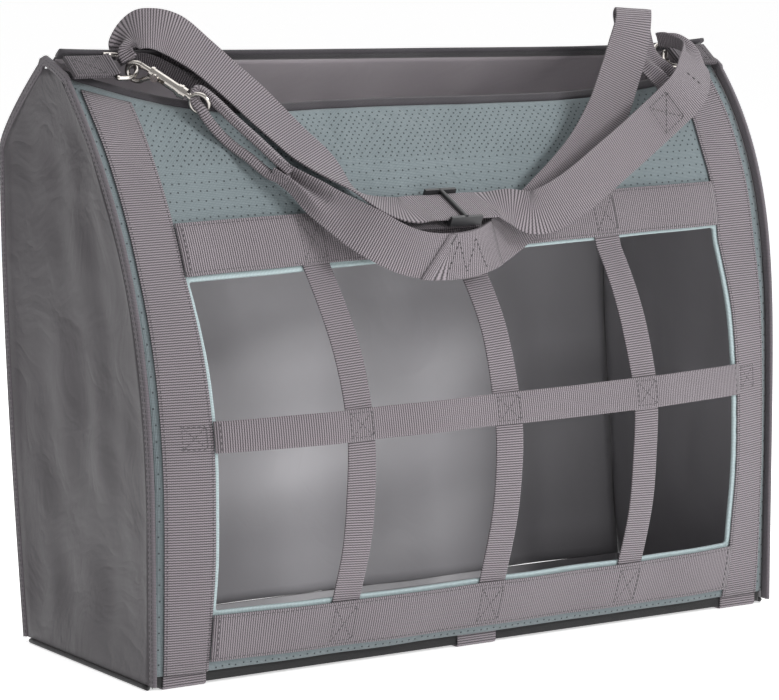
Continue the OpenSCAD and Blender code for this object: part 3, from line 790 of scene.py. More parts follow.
path = window_path()
outline = strap_outline(TAPE, 3.4 * MM, 5, 1.2 * MM, -2.9 * MM)
across = np.array([u for u, _ in outline])
lift = np.array([l for _, l in outline])
puff = 0.25 * MM * waves(51, 0.012)(path[:, 0], path[:, 1])
rings = front_place(False)(path[:, 0, None] + path[:, 2, None] * across, path[:, 1, None] + path[:, 3, None] * across,
                           lift[None, :] + puff[:, None] * (lift > 0))
ride(make_sweep("window_tape", rings, outline, travelled(rings.mean(axis=1), True), [pale_tape_painted_highlight], closed=True),
     "binding_pale", "window_binding")


# %% [markdown]
# ## Edge tapes, hems and piping
# The gussets are joined to the panels by a folded tape that stands out from the
# seam. The front's and the back's top edges are bound with a narrower tape. A
# thin black piping runs round the foot.

# %% Edge tapes and hems
def make_tube(name, points, sideways, outline, material, closed=False):
    """Sweep an outline along points; sideways gives the outline's first axis at each point."""
    points = np.asarray(points, float)
    sideways = np.broadcast_to(np.asarray(sideways, float), points.shape)
    tangent = np.gradient(points, axis=0)
    tangent /= np.linalg.norm(tangent, axis=1, keepdims=True)
    first = sideways - (sideways * tangent).sum(1, keepdims=True) * tangent
    first /= np.linalg.norm(first, axis=1, keepdims=True)
    second = np.cross(tangent, first)
    u = np.array([p[0] for p in outline])
    l = np.array([p[1] for p in outline])
    rings = points[:, None] + first[:, None] * u[None, :, None] + second[:, None] * l[None, :, None]
    return make_sweep(name, rings, outline, travelled(points, closed), [material], closed)


def edge_points(side, front, out):
    x = side * BAG_W / 2
    zs = marks(BAG_H - 19 * MM, GUSSET_Z0, 6 * MM) if front else marks(BAG_H - 7 * MM, GUSSET_Z0, 6 * MM)
    xs = np.full_like(zs, x)
    ys = front_y(xs, zs) if front else back_y(xs, zs)
    path = np.stack([ys, zs], 1)
    heading = np.gradient(path, axis=0)
    heading /= np.linalg.norm(heading, axis=1, keepdims=True)
    normal = np.stack([-heading[:, 1], heading[:, 0]], 1) * (-1 if front else 1)
    outwards = np.array([[-1 if front else 1, 0.2]])
    normal = normal * np.sign((normal * outwards).sum(1, keepdims=True))
    at = path + normal * out
    points = np.stack([np.full_like(zs, x - side * 1.6 * MM), at[:, 0], at[:, 1]], 1)
    return points, np.stack([np.zeros_like(zs), normal[:, 0], normal[:, 1]], 1)


def end_seam(side, out):
    """The seam round one end, from the front foot over the top corner to the back foot."""
    front, front_normal = edge_points(side, True, out)
    back, back_normal = edge_points(side, False, out)
    points = np.concatenate([front[::-1][:-1], back[1:]])
    normal = np.concatenate([front_normal[::-1][:-1], back_normal[1:]])
    path = smooth_route(np.concatenate([points, normal], 1), 2)
    return path[:, :3], path[:, 3:] / np.linalg.norm(path[:, 3:], axis=1, keepdims=True)


def smooth_route(values, fine):
    """Catmull-Rom through rows of numbers."""
    values = np.asarray(values, float)
    padded = np.concatenate([values[:1], values, values[-1:]])
    out = []
    for i in range(len(values) - 1):
        p = padded[i:i + 4]
        for f in np.arange(fine) / fine:
            out.append(0.5 * (2 * p[1] + (p[2] - p[0]) * f + (2 * p[0] - 5 * p[1] + 4 * p[2] - p[3]) * f * f
                              + (3 * p[1] - p[0] - 3 * p[2] + p[3]) * f ** 3))
    out.append(values[-1])
    return np.array(out)


for side, end in ((-1, "left"), (1, "right")):
    points, normal = end_seam(side, 4.3 * MM)
    outline = strap_outline(8.2 * MM, 3.4 * MM, 3, 1.3 * MM, -1.7 * MM)
    ride(make_tube(f"{end}_edge_tape", points, normal, outline, grey_tape),
         "binding_grey", f"{end}_front_binding", f"{end}_back_binding")

for front, node, slot, material in ((True, "front_top_hem", "hem_grey", hem_tape),
                                    (False, "back_top_hem", "hem_grey", hem_tape)):
    xs = marks(-PANEL_X, PANEL_X, 6 * MM)
    surface = on_front if front else on_back
    top = front_top(xs) if front else back_top(xs)
    outline = strap_outline(HEM, 4.2 * MM, 4, 1.4 * MM, -3.3 * MM if front else -3.3 * MM)
    u = np.array([p[0] for p in outline]) + HEM / 2 + 0.4 * MM
    l = np.array([p[1] for p in outline])
    rings = surface(xs[:, None] + 0 * u, top[:, None] + u[None, :], np.broadcast_to(l, (len(xs), len(l))))
    ride(make_sweep(node + "_tape", rings, outline, travelled(rings.mean(axis=1)), [material]),
         slot, node)


# %% [markdown]
# ## Base
# The foot is a shallow stiffened tray of black cloth. It is lofted from rounded
# rectangles, from the middle of the underside, round the rim and down inside.
# Three strap ends wrap under it and show as patches at the front and the back.

# %% Base tray, base straps and foot piping
def rounded_rectangle(half_x, half_y, corner, cells=5):
    out = []
    for quarter in range(4):
        a0 = quarter * math.pi / 2
        cx = (half_x - corner) * (1 if quarter in (0, 3) else -1)
        cy = (half_y - corner) * (1 if quarter in (0, 1) else -1)
        out += [(cx + corner * math.cos(a0 + math.pi / 2 * k / cells),
                 cy + corner * math.sin(a0 + math.pi / 2 * k / cells)) for k in range(cells + 1)]
    return out


def make_tray():
    half_x, half_y, floor_z = PANEL_X, BAG_D / 2, 1.9 * MM
    rim = LIP / MM - 1.9
    levels = [(-30, 0), (-1.2, 0), (-0.3, 0.35), (0, 1.2), (0, 4), (0.2, 7), (0, rim - 0.3), (-0.5, rim),
              (-1.9, rim), (-2.4, rim - 0.7), (-2.4, 3.6), (-3.2, 2.6), (-30, 2.4)]
    loops = [[(x, y, floor_z + z * MM) for x, y in
              rounded_rectangle(half_x + out * MM, half_y + out * MM, max(5 * MM + out * MM, 2 * MM))]
             for out, z in levels]
    size = len(loops[0])
    points = [p for loop in loops for p in loop]
    faces = [[i * size + k, i * size + (k + 1) % size, (i + 1) * size + (k + 1) % size, (i + 1) * size + k]
             for i in range(len(loops) - 1) for k in range(size)]
    faces.append(list(range(size))[::-1])
    faces.append([(len(loops) - 1) * size + k for k in range(size)])
    uvs = [[(points[k][0] + points[k][2], points[k][1] + points[k][2]) for k in face] for face in faces]
    inside = [int(k // size >= 8) for k in range((len(loops) - 1) * size)] + [0, 1]
    return new_object("tray_cloth", points, faces, uvs, [black_cloth, lining], inside)


ride(make_tray(), "base_black", "base_tray")


def rounded_path(corners, radius, step=3 * MM):
    """Points along straight runs joined by arcs; corners are 2-D."""
    corners = [np.array(c, float) for c in corners]
    out = [corners[0]]
    for a, b, c in zip(corners, corners[1:], corners[2:]):
        to_a, to_c = (a - b) / np.linalg.norm(a - b), (c - b) / np.linalg.norm(c - b)
        for f in np.linspace(0, 1, 7):
            out.append(b + to_a * radius * (1 - f) ** 2 + to_c * radius * f ** 2)
    out.append(corners[-1])
    path = [out[0]]
    for a, b in zip(out, out[1:]):
        n = max(1, int(np.linalg.norm(b - a) / step))
        path += [a + (b - a) * k / n for k in range(1, n + 1)]
    return np.array(path)


for x0, end in ((-FRAME_X - WEB / 2, "left"), (0, "centre"), (FRAME_X + WEB / 2, "right")):
    reach = BAG_D / 2 + 0.3 * MM + WEB_T / 2
    path = rounded_path([(-reach, FOOT), (-reach, WEB_T / 2), (reach, WEB_T / 2), (reach, FOOT)], 2.5 * MM)
    points = np.stack([np.full(len(path), x0), path[:, 0], path[:, 1]], 1)
    outline = strap_outline(WEB, WEB_T, 6, bottom=-WEB_T / 2)
    ride(make_tube(end + "_base_wrap", points, (1, 0, 0), outline, webbing),
         "webbing", end + "_base_strap")

for side, end in ((-1, "left"), (1, "right")):
    ys = marks(-BAG_D / 2 + 3.5 * MM, BAG_D / 2 - 3.5 * MM, 8 * MM)
    points = np.stack([np.full_like(ys, side * (BAG_W / 2 - 1.2 * MM)), ys, np.full_like(ys, 2 * MM)], 1)
    ride(make_tube(end + "_foot_piping", points, (1, 0, 0), round_outline(2 * MM), black_piping),
         "piping_black", end + "_bottom_piping")


# %% [markdown]
# ## Straps
# A free strap follows a route of places, each with the direction across it and
# its width there. Where the strap is squeezed into a ring or an eye it gets
# narrower, but webbing doesn't shrink: the same width is taken up in pleats. The
# outline therefore waves across the strap just enough to keep its full girth.
# A fourth value below one lets a row lie slanted, along a slanted fold.

# %% Straps that hang free
def route_frame(route, fine=8):
    places = smooth_route([r[0] for r in route], fine) * MM
    sides = smooth_route([r[1] for r in route], fine)
    widths = smooth_route([[r[2]] for r in route], fine)[:, 0] * MM
    tangent = np.gradient(places, axis=0)
    tangent /= np.linalg.norm(tangent, axis=1, keepdims=True)
    square = smooth_route([[r[3] if len(r) > 3 else 1.0] for r in route], fine)
    flat = sides - square * (sides * tangent).sum(1, keepdims=True) * tangent
    flat /= np.linalg.norm(flat, axis=1, keepdims=True)
    up = np.cross(flat, tangent)
    return places, tangent, flat, up / np.linalg.norm(up, axis=1, keepdims=True), widths


def make_strap(name, route, material, full=WEB, thick=WEB_T, pleats=1.5, fine=8, cells=24, seed=1):
    places, _, flat, up, widths = route_frame(route, fine)
    outline = strap_outline(1.0, 1.0, cells, 0.02)
    share_u = np.array([u for u, _ in outline])
    share_l = np.array([l for _, l in outline])
    widths = np.minimum(widths, full)
    squeezed = ramp(1 - widths / full, 0.06, 0.35)
    depth = squeezed * np.sqrt(np.clip(full ** 2 - widths ** 2, 0, None)) / (4 * pleats)
    wave = np.sin(2 * math.pi * pleats * share_u)[None, :] * depth[:, None]
    ripple = waves(seed, 0.05)(travelled(places)[:, None] + 0 * share_u, share_u[None, :] * full) * 0.5 * MM
    edge = np.clip(np.abs(share_u) * 2, 0, 1)[None, :] ** 2
    lift = (share_l[None, :] - 0.5) * thick + wave + ripple * edge
    rings = (places[:, None] + flat[:, None] * (share_u[None, :, None] * widths[:, None, None])
             + up[:, None] * lift[..., None])
    size = strap_outline(full, thick, cells)
    lengths = travelled(places)
    piece = make_sweep(name, rings, size, lengths, [material])
    print(name, "length", round(float(lengths[-1]), 3), "m")
    return piece, float(lengths[-1])


CARRY = [
    [[-247, 27, 480], [0, 1, 0.5], 15], [[-250, 31, 490], [0, 0.9, 0.6], 24],
    [[-245, 29, 501], [0, 0.8, 0.6], 35], [[-235, 20, 506], [0.1, 0.6, 0.8], 38],
    [[-214, 13, 500], [0.3, 0.4, 1], 38],
    [[-190, 4, 481], [0.4, 0.6, 0.9], 38], [[-162, -14, 452], [0.4, 0.7, 0.9], 38],
    [[-138, -40, 420], [0.4, 0.8, 0.8], 38], [[-120, -62, 398], [0.5, 0.9, 0.6], 38],
    [[-98, -82, 374], [0, 1, 0.3], 38], [[-70, -98, 362], [0, 0.9, 0.45], 38],
    [[-50, -98, 362], [0, 0.9, 0.45], 38], [[-20, -98, 362], [0, 0.9, 0.45], 38],
    [[8, -98, 362], [0, 0.9, 0.45], 38], [[18, -98, 362], [0, 0.9, 0.45], 38],
    [[34, -103, 360], [-0.1, 0.7, 0.7], 38], [[55, -112, 355], [-0.3, 0.45, 0.85], 38],
    [[88, -114, 368], [-0.5, 0.3, 0.8], 38], [[135, -110, 396], [-0.6, 0.2, 0.8], 38],
    [[184, -102, 425], [-0.6, 0.2, 0.8], 38], [[220, -96, 449], [-0.6, 0.3, 0.8], 38],
    [[241, -80, 467], [-0.5, 0.5, 0.8], 34], [[252, -62, 480], [-0.8, 0.3, 0.6], 28],
    [[250, -42, 489], [-1, 0, 0.1], 22], [[246, -27, 489], [-1, 0, 0], 17]]
RETURN = [
    [[-249, 32, 483], [0, 1, 0.5], 13], [[-238, 36, 483], [0.1, 0.8, 0.6], 16],
    [[-222, 32, 482], [0.2, 0.6, 0.8], 20], [[-200, 20, 471], [0.3, 0.4, 1], 26],
    [[-182, 8, 458], [0.3, 0.4, 1], 33], [[-168, -2, 444], [0.3, 0.4, 1], 38]]
TAIL = [
    [[-90, -90, 357], [0, 0.85, 0.5], 38], [[-75, -95, 356], [0, 0.9, 0.45], 38],
    [[-50, -95, 355], [0, 0.9, 0.45], 38], [[0, -95, 355], [0, 0.9, 0.45], 38]]
HANGING = [
    [[-164, -59, 396], [0.5, 0.3, 1], 13], [[-151, -71, 385], [0.6, 0.3, 1], 17],
    [[-134, -88, 368], [0.6, 0.2, 1], 30],
    [[-110, -115, 347], [0.4, -0.1, 1], 38], [[-80, -124, 331], [0.2, -0.15, 1], 38],
    [[-46, -123, 325], [0, -0.15, 1], 38], [[-6, -117, 327], [-0.3, -0.1, 1], 38],
    [[38, -96, 339], [-0.5, 0.1, 1], 38], [[78, -90, 365], [-0.8, 0.1, 0.8], 38],
    [[120, -84, 397], [-0.9, 0.2, 0.5], 38], [[152, -74, 430], [-1, 0.2, 0.3], 38],
    [[171, -67, 462], [-1, 0.15, 0.25], 38], [[184, -62, 488], [-1, 0.1, 0.2], 38, 0.6],
    [[191, -59, 508], [-1, 0, 0.08], 38, 0], [[196, -52, 517], [-1, 0, 0.06], 38, 0],
    [[200, -44, 509], [-1, 0, 0.06], 38, 0], [[207, -47, 482], [-1, 0, 0.1], 34, 0.6],
    [[219, -73, 455], [-1, 0, 0.1], 22],
    [[214, -80, 436], [-1, 0, 0.2], 14], [[208, -78, 427], [-1, 0, 0.3], 12]]
# the squeezed loop through the left eye: up one side, through, and back down the other
LOOP = [
    [-156, -68, 387], [-166, -55, 391], [-178, -43, 404], [-190, -31, 416], [-201, -24, 430], [-208, -20, 442],
    [-210, -13, 450], [-205, -10, 457], [-197, -18, 450], [-186, -33, 434], [-174, -46, 419], [-163, -57, 405],
    [-154, -67, 393]]

carry, carry_length = make_strap("carry_webbing", CARRY, webbing, seed=61)
# The tail and the returned layer wear the webbing painted in shade.
tail, tail_length = make_strap("carry_tail_webbing", TAIL, webbing_painted_shade, seed=62)
hanging, hanging_length = make_strap("hanging_webbing", HANGING, webbing, seed=63)
under_layer, return_length = make_strap("carry_return_webbing", RETURN, webbing_painted_shade, seed=64)
ride(under_layer, "webbing")
ride(carry, "webbing", "carry_strap")
ride(tail, "webbing", "carry_strap_tail")
ride(hanging, "webbing", "hanging_strap")


# %% [markdown]
# ## The loop in the left eye
# Squeezed webbing looks like a ribbed cord: its pleats close up into a round
# bundle. So the loop is a fluted tube rather than a flat strap. Where the strap
# comes out of the bundle again, a second layer is sewn on top of it, and that
# layer ends in a slant.

# %% Loop and joined layer
def fluted_outline(radius, flutes=5, depth=0.13, cells=20):
    return [(radius * (1 + depth * math.cos(flutes * a)) * math.cos(a),
             radius * (1 + depth * math.cos(flutes * a)) * math.sin(a))
            for a in (2 * math.pi * k / cells for k in range(cells))]


loop_points = smooth_route(LOOP, 8) * MM
ride(make_tube("loop_webbing", loop_points, (0.54, 0.84, 0.1), fluted_outline(4.0 * MM), webbing), "webbing")


def make_layer(name, route, start, end, lift, slant, material, full=WEB, fine=8):
    """A second layer sewn on a strap between two places of its route."""
    places, tangent, flat, up, widths = route_frame(route, fine)
    places, tangent, flat, up = (field[int(start * fine):int(end * fine) + 1] for field in (places, tangent, flat, up))
    outline = strap_outline(full, WEB_T, 10)
    across = np.array([u for u, _ in outline])
    high = np.array([l for _, l in outline])
    fade = np.linspace(1, -1, len(places))
    rings = (places[:, None] + flat[:, None] * across[None, :, None] + up[:, None] * (lift - high)[None, :, None]
             + tangent[:, None] * (across[None, :] * slant * (fade > 0.6)[:, None])[..., None])
    return make_sweep(name, rings, outline, travelled(places), [material])


ride(make_layer("hanging_join_webbing", HANGING, 4.85, 6.5, -0.9 * MM, 0.55, webbing), "webbing")


# %% [markdown]
# ## Corner tabs
# Each ring hangs in a short strap that is folded round its straight bar and
# sewn down flat on itself. It is one strap swept along a hairpin.

# %% Ring tabs
BAR = np.array([-264.0, 24, 476]) * MM
BAR_DIR, OUT_DIR = np.array([0, 0.8, 0.6]), np.array([1.0, 0, 0])
UP_DIR = np.cross(OUT_DIR, BAR_DIR)


def mirrored(points):
    points = np.array(points, float)
    points[..., 0] *= -1
    points[..., 1] -= 48 * MM
    return points


def make_tab(side, name):
    bend = 2.05 * MM + WEB_T / 2
    reach = 38 * MM
    flat = [(-reach, -WEB_T / 2 - 0.05 * MM), (-2.4 * MM, -WEB_T / 2 - 0.05 * MM)]
    turn_angles = np.linspace(-0.62 * math.pi, 0.62 * math.pi, 17)
    arc = [(bend * math.cos(a), bend * math.sin(a)) for a in turn_angles]
    route = smooth_route(flat[:1] + [(-20 * MM, flat[0][1]), (-6 * MM, flat[0][1])] + arc
                         + [(-6 * MM, -flat[0][1]), (-20 * MM, -flat[0][1]), (-reach, -flat[0][1])], 4)
    points = BAR + route[:, 0, None] * OUT_DIR + route[:, 1, None] * UP_DIR
    sideways = BAR_DIR
    if side > 0:
        points, sideways = mirrored(points), np.array([0, 0.8, 0.6])
    outline = strap_outline(25 * MM, WEB_T * 0.96, 6, bottom=-WEB_T / 2)
    # The tab wears the webbing painted in shade.
    return make_tube(name, points, sideways, outline, webbing_painted_shade)


for side, end in ((-1, "left"), (1, "right")):
    ride(make_tab(side, end + "_tab_webbing"), "webbing", end + "_ring_tab")


# %% [markdown]
# ## Stitching
# Every seam on the bag is the same thing repeated: a short thread that dips
# into the cloth at an even pitch. The seams are collected as lines first. One
# Geometry Nodes tree then resamples each line, lays a small capsule along it at
# every pitch, and realises the result as plain mesh.

# %% Collect the seam lines
seams = {"grey": [], "dark": []}


def sew(kind, points):
    seams[kind].append(np.asarray(points, float))


def sew_front(kind, corners, lift, top=True, step=4 * MM):
    """A seam through (x, h) corners on the front, at a lift above the panel."""
    corners = np.asarray(corners, float)
    line = []
    for a, b in zip(corners, corners[1:]):
        n = max(2, int(np.linalg.norm(b - a) / step))
        line += [a + (b - a) * k / n for k in range(n)]
    line = np.array(line + [corners[-1]])
    sew(kind, front_place(top)(line[:, 0], line[:, 1], np.full(len(line), lift)))


on_web, on_band = WEB_LO + WEB_T + 0.05 * MM, BAND_LO + WEB_T + 0.05 * MM
for side in (-1, 1):
    for inset in (2.2 * MM, WEB - 2.2 * MM):
        x = side * (FRAME_X + inset)
        sew_front("grey", [(x, LIP + 2 * MM), (x, BAG_H - 12 * MM)], on_web)
    for h in (LIP + 8 * MM, BAG_H - 34 * MM):
        sew_front("grey", [(side * (FRAME_X + 2 * MM), h), (side * (FRAME_X + WEB - 2 * MM), h)], on_web)
for h, width in BANDS.values():
    if width == WEB:
        for edge in (-1, 1):
            row = h + edge * (width / 2 - 2.2 * MM)
            sew_front("grey", [(-FRAME_X, row), (FRAME_X, row)], on_band, False)


def box_x(x, h, half_w, half_h, lift):
    corners = [(-half_w, -half_h), (half_w, -half_h), (half_w, half_h), (-half_w, half_h), (-half_w, -half_h),
               (half_w, half_h), (half_w, -half_h), (-half_w, half_h)]
    sew_front("grey", [(x + a, h + b) for a, b in corners], lift, False)


for k in (-1, 0, 1):
    for h, half in ((MIDDLE_Z, 9.5 * MM), (UPPER_Z + WEB / 2, 14 * MM), (LOWER_Z + WEB / 2, 14 * MM)):
        x = k * PITCH + float(wander(np.array(min(max(h, WINDOW_Z0), WINDOW_Z1))))
        box_x(x, h, 10 * MM, half, on_band)
for side in (-1, 1):
    for h, half in ((MIDDLE_Z, 9.5 * MM), (UPPER_Z + WEB / 2, 14 * MM), (LOWER_Z + WEB / 2, 14 * MM)):
        x = side * (FRAME_X - 5 * MM)
        sew_front("dark", [(x, h - half), (x, h + half)], on_band, False)
    box_x(side * (FRAME_X + 14 * MM), MIDDLE_Z, 9 * MM, 9 * MM, on_web)

# window tape: one row round the opening
path = window_path()
sew("grey", front_place(False)(path[:, 0] + path[:, 2] * 1.2 * MM, path[:, 1] + path[:, 3] * 1.2 * MM,
                               np.full(len(path), 0.55 * MM)))

# edge tapes: two rows on the outer face
for side in (-1, 1):
    for out in (2.3 * MM, 6.2 * MM):
        points, _ = end_seam(side, out)
        points[:, 0] = side * (BAG_W / 2 + 0.12 * MM)
        sew("dark", points)


# %% Stitch tree
def geometry_tree(name, inputs):
    tree = bpy.data.node_groups.new(name, "GeometryNodeTree")
    tree.interface.new_socket("Geometry", in_out="INPUT", socket_type="NodeSocketGeometry")
    for label, (kind, value) in inputs.items():
        socket = tree.interface.new_socket(label, in_out="INPUT", socket_type=kind)
        if value is not None:
            socket.default_value = value
    tree.interface.new_socket("Geometry", in_out="OUTPUT", socket_type="NodeSocketGeometry")
    return tree, tree.nodes.new("NodeGroupInput")


def lay_out(tree, points, shape, heading):
    """End a tree: the shape at every point, turned to its heading, as real mesh with its finish."""
    new, link = tree.nodes.new, tree.links.new
    into, out = tree.nodes["Group Input"], new("NodeGroupOutput")
    align = new("FunctionNodeAlignRotationToVector")
    align.axis = "Z"
    link(heading, align.inputs["Vector"])
    lay = new("GeometryNodeInstanceOnPoints")
    for socket, name in ((points, "Points"), (shape, "Instance"), (align.outputs["Rotation"], "Rotation")):
        link(socket, lay.inputs[name])
    real = new("GeometryNodeRealizeInstances")
    link(lay.outputs["Instances"], real.inputs["Geometry"])
    finish = new("GeometryNodeSetMaterial")
    link(real.outputs["Geometry"], finish.inputs["Geometry"])
    link(into.outputs["Finish"], finish.inputs["Material"])
    link(finish.outputs["Geometry"], out.inputs["Geometry"])
    return tree


def stitch_tree():
    tree, into = geometry_tree("StitchAlongSeam", {
        "Pitch": ("NodeSocketFloat", 0.0042), "Thread length": ("NodeSocketFloat", 0.003),
        "Thread radius": ("NodeSocketFloat", 0.00035), "Finish": ("NodeSocketMaterial", None)})
    new, link = tree.nodes.new, tree.links.new
    evenly = new("GeometryNodeCurveToPoints")
    evenly.mode = "LENGTH"
    link(into.outputs["Geometry"], evenly.inputs["Curve"])
    link(into.outputs["Pitch"], evenly.inputs["Length"])
    bead = new("GeometryNodeMeshUVSphere")
    bead.inputs["Segments"].default_value = 6
    bead.inputs["Rings"].default_value = 4
    bead.inputs["Radius"].default_value = 1.0
    size = new("ShaderNodeCombineXYZ")
    half = new("ShaderNodeMath")
    half.operation = "MULTIPLY"
    half.inputs[1].default_value = 0.5
    link(into.outputs["Thread length"], half.inputs[0])
    link(into.outputs["Thread radius"], size.inputs[0])
    link(into.outputs["Thread radius"], size.inputs[1])
    link(half.outputs[0], size.inputs[2])
    shape = new("GeometryNodeTransform")
    link(bead.outputs["Mesh"], shape.inputs["Geometry"])
    link(size.outputs[0], shape.inputs["Scale"])
    return lay_out(tree, evenly.outputs["Points"], shape.outputs["Geometry"], evenly.outputs["Tangent"])


def set_inputs(modifier, tree, **values):
    for item in tree.interface.items_tree:
        if item.item_type == "SOCKET" and item.in_out == "INPUT" and item.name in values:
            modifier[item.identifier] = values[item.name]


def bake(piece, name):
    """Turn a piece with live Geometry Nodes into a plain mesh object."""
    graph = bpy.context.evaluated_depsgraph_get()
    mesh = bpy.data.meshes.new_from_object(piece.evaluated_get(graph))
    mesh.name = name
    bpy.data.objects.remove(piece)
    made = bpy.data.objects.new(name, mesh)
    bpy.context.scene.collection.objects.link(made)
    return made


STITCH = stitch_tree()


def stitch_piece(name, lines, finish, pitch=0.0042, length=0.0031, radius=0.00036):
    curve = bpy.data.curves.new(name + "_lines", "CURVE")
    curve.dimensions = "3D"
    for line in lines:
        spline = curve.splines.new("POLY")
        spline.points.add(len(line) - 1)
        spline.points.foreach_set("co", np.concatenate([line, np.ones((len(line), 1))], 1).ravel())
    piece = bpy.data.objects.new(name + "_lines", curve)
    bpy.context.scene.collection.objects.link(piece)
    modifier = piece.modifiers.new("stitches", "NODES")
    modifier.node_group = STITCH
    set_inputs(modifier, STITCH, Pitch=pitch, Finish=finish,
               **{"Thread length": length, "Thread radius": radius})
    made = bake(piece, name)
    print(name, len(made.data.polygons), "faces")
    return made


# %% [markdown]
# ## Sewing on the straps
# Where the carry strap doubles back it has a boxed cross, and the pleated ends
# of the hanging strap are held by a dense bar of thread.

# %% Seams of the straps and tabs
def strap_box(kind, route, at, half_len, half_wid, lift):
    """A boxed cross sewn through a strap, around the place with index at."""
    places, tangent, flat, up, widths = route_frame(route)
    reach = travelled(places)
    k = int(at * 8)
    corners = [(-1, -1), (1, -1), (1, 1), (-1, 1), (-1, -1), (1, 1), (1, -1), (-1, 1)]
    line = []
    for (a0, b0), (a1, b1) in zip(corners, corners[1:]):
        for f in np.linspace(0, 1, 9)[:-1]:
            a, b = (a0 + (a1 - a0) * f) * half_len, (b0 + (b1 - b0) * f) * half_wid
            here = reach[k] + a
            place, side, top = (np.array([np.interp(here, reach, field[:, c]) for c in range(3)])
                                for field in (places, flat, up))
            line.append(place + side * b + top * lift)
    sew(kind, line)


def bar_tack(kind, route, at, width, lift, rows=5):
    """A dense bar of thread across a strap."""
    places, tangent, flat, up, widths = route_frame(route)
    k = int(at * 8)
    for row in range(rows):
        shift = tangent[k] * (row - rows / 2) * 0.7 * MM
        us = np.linspace(-width / 2, width / 2, 5)
        sew(kind, places[k] + shift + flat[k] * us[:, None] + up[k] * lift)


OVER = WEB_T / 2 + 0.45 * MM
for face in (-OVER, OVER):
    strap_box("dark", CARRY, 19.35, 12 * MM, 13 * MM, face)
    bar_tack("dark", CARRY, 20.6, 12 * MM, face, rows=1)
    bar_tack("dark", HANGING, 2.0, 16 * MM, face, rows=1)


def zigzag(kind, route, start, end, turns, half, lift):
    """A zigzag of stitches between two places of a route."""
    places, tangent, flat, up, widths = route_frame(route, 16)
    first, last = int(start * 16), int(end * 16)
    line = []
    for k in range(turns * 8 + 1):
        n = first + (last - first) * k / (turns * 8)
        i, f = int(n), n - int(n)
        at = [field[i] * (1 - f) + field[min(i + 1, len(field) - 1)] * f for field in (places, flat, up)]
        swing = 1 - 4 * abs((k / 16) % 1 - 0.5)
        line.append(at[0] + at[1] * swing * half + at[2] * lift)
    sew(kind, line)


zigzag("dark", HANGING, 5.15, 6.1, 4, 13 * MM, -0.9 * MM - WEB_T - 0.2 * MM)

for side in (-1, 1):
    corners = [(-33, -9.5), (-8, -9.5), (-8, 9.5), (-33, 9.5), (-33, -9.5), (-8, 9.5), (-8, -9.5), (-33, 9.5)]
    for face in (-1, 1):
        line = []
        for a, b in zip(corners, corners[1:]):
            for f in np.linspace(0, 1, 9)[:-1]:
                u, v = a[0] + (b[0] - a[0]) * f, a[1] + (b[1] - a[1]) * f
                line.append(BAR + OUT_DIR * u * MM + BAR_DIR * v * MM + UP_DIR * face * (WEB_T + 0.1 * MM))
        line = np.array(line)
        sew("dark", mirrored(line) if side > 0 else line)

for kind, finish in (("grey", grey_thread), ("dark", dark_thread)):
    ride(stitch_piece(kind + "_stitches", seams[kind], finish), "binding_grey")


# %% [markdown]
# ## Perforations
# The teal cloth is pricked with small holes in staggered rows. Each is a shallow
# dimple painted dark, a painted shade inside the hole. Points for them are set
# out on the surface only where the cloth is
# bare, and a second tree instances one small disc at each, turned to the
# surface's normal.

# %% Perforated dots on the bare teal cloth
def perforation_tree():
    tree, into = geometry_tree("Perforations", {
        "Radius": ("NodeSocketFloat", 0.0006), "Finish": ("NodeSocketMaterial", None)})
    new, link = tree.nodes.new, tree.links.new
    disc = new("GeometryNodeMeshCylinder")
    disc.inputs["Vertices"].default_value = 7
    disc.inputs["Depth"].default_value = 0.00016
    link(into.outputs["Radius"], disc.inputs["Radius"])
    facing = new("GeometryNodeInputNamedAttribute")
    facing.data_type = "FLOAT_VECTOR"
    facing.inputs["Name"].default_value = "facing"
    return lay_out(tree, into.outputs["Geometry"], disc.outputs["Mesh"], facing.outputs["Attribute"])


def bare(x, h):
    """True where no webbing or tape covers the front at (x, h)."""
    margin = np.abs(x) > FRAME_X + WEB + 1.2 * MM
    inner = (np.abs(x) < FRAME_X - 1 * MM)
    above = inner & (h > UPPER_Z + WEB + 1.5 * MM)
    below = inner & (h < LOWER_Z - 1.0 * MM)
    return (margin & (np.abs(x) < PANEL_X - 1 * MM)) | above | below


ROW = 6.4 * MM
rows = np.arange(LIP + 2.5 * MM, BAG_H - 3 * MM, ROW)
spots = []
for k, h in enumerate(rows):
    xs = np.arange(-PANEL_X + 2 * MM + (k % 2) * ROW / 2, PANEL_X - 1 * MM, ROW)
    spots += [(x, h) for x in xs[bare(xs, np.full_like(xs, h))]]
spots = np.array(spots) + np.random.default_rng(77).normal(0, 0.35 * MM, (len(spots), 2))
at = front_place()(spots[:, 0], spots[:, 1], np.full(len(spots), 0.05 * MM))
tip = front_place()(spots[:, 0], spots[:, 1], np.full(len(spots), 1.05 * MM))
cloud = bpy.data.meshes.new("spots")
cloud.from_pydata([tuple(p) for p in at], [], [])
facing = cloud.attributes.new("facing", "FLOAT_VECTOR", "POINT")
facing.data.foreach_set("vector", (tip - at).ravel())
spot_piece = bpy.data.objects.new("spots", cloud)
bpy.context.scene.collection.objects.link(spot_piece)
PERFORATE = perforation_tree()
modifier = spot_piece.modifiers.new("perforate", "NODES")
modifier.node_group = PERFORATE
set_inputs(modifier, PERFORATE, Radius=0.8 * MM, Finish=hole_shade)
ride(bake(spot_piece, "perforations"), "panel_teal")
print("perforations", len(spots))


# %% [markdown]
# ## Finishes of the hard parts
# Rings, snaps and slider keep the meshes they were engineered with. They only
# change finish: warm nickel plate, bright spring wire and moulded black plastic.

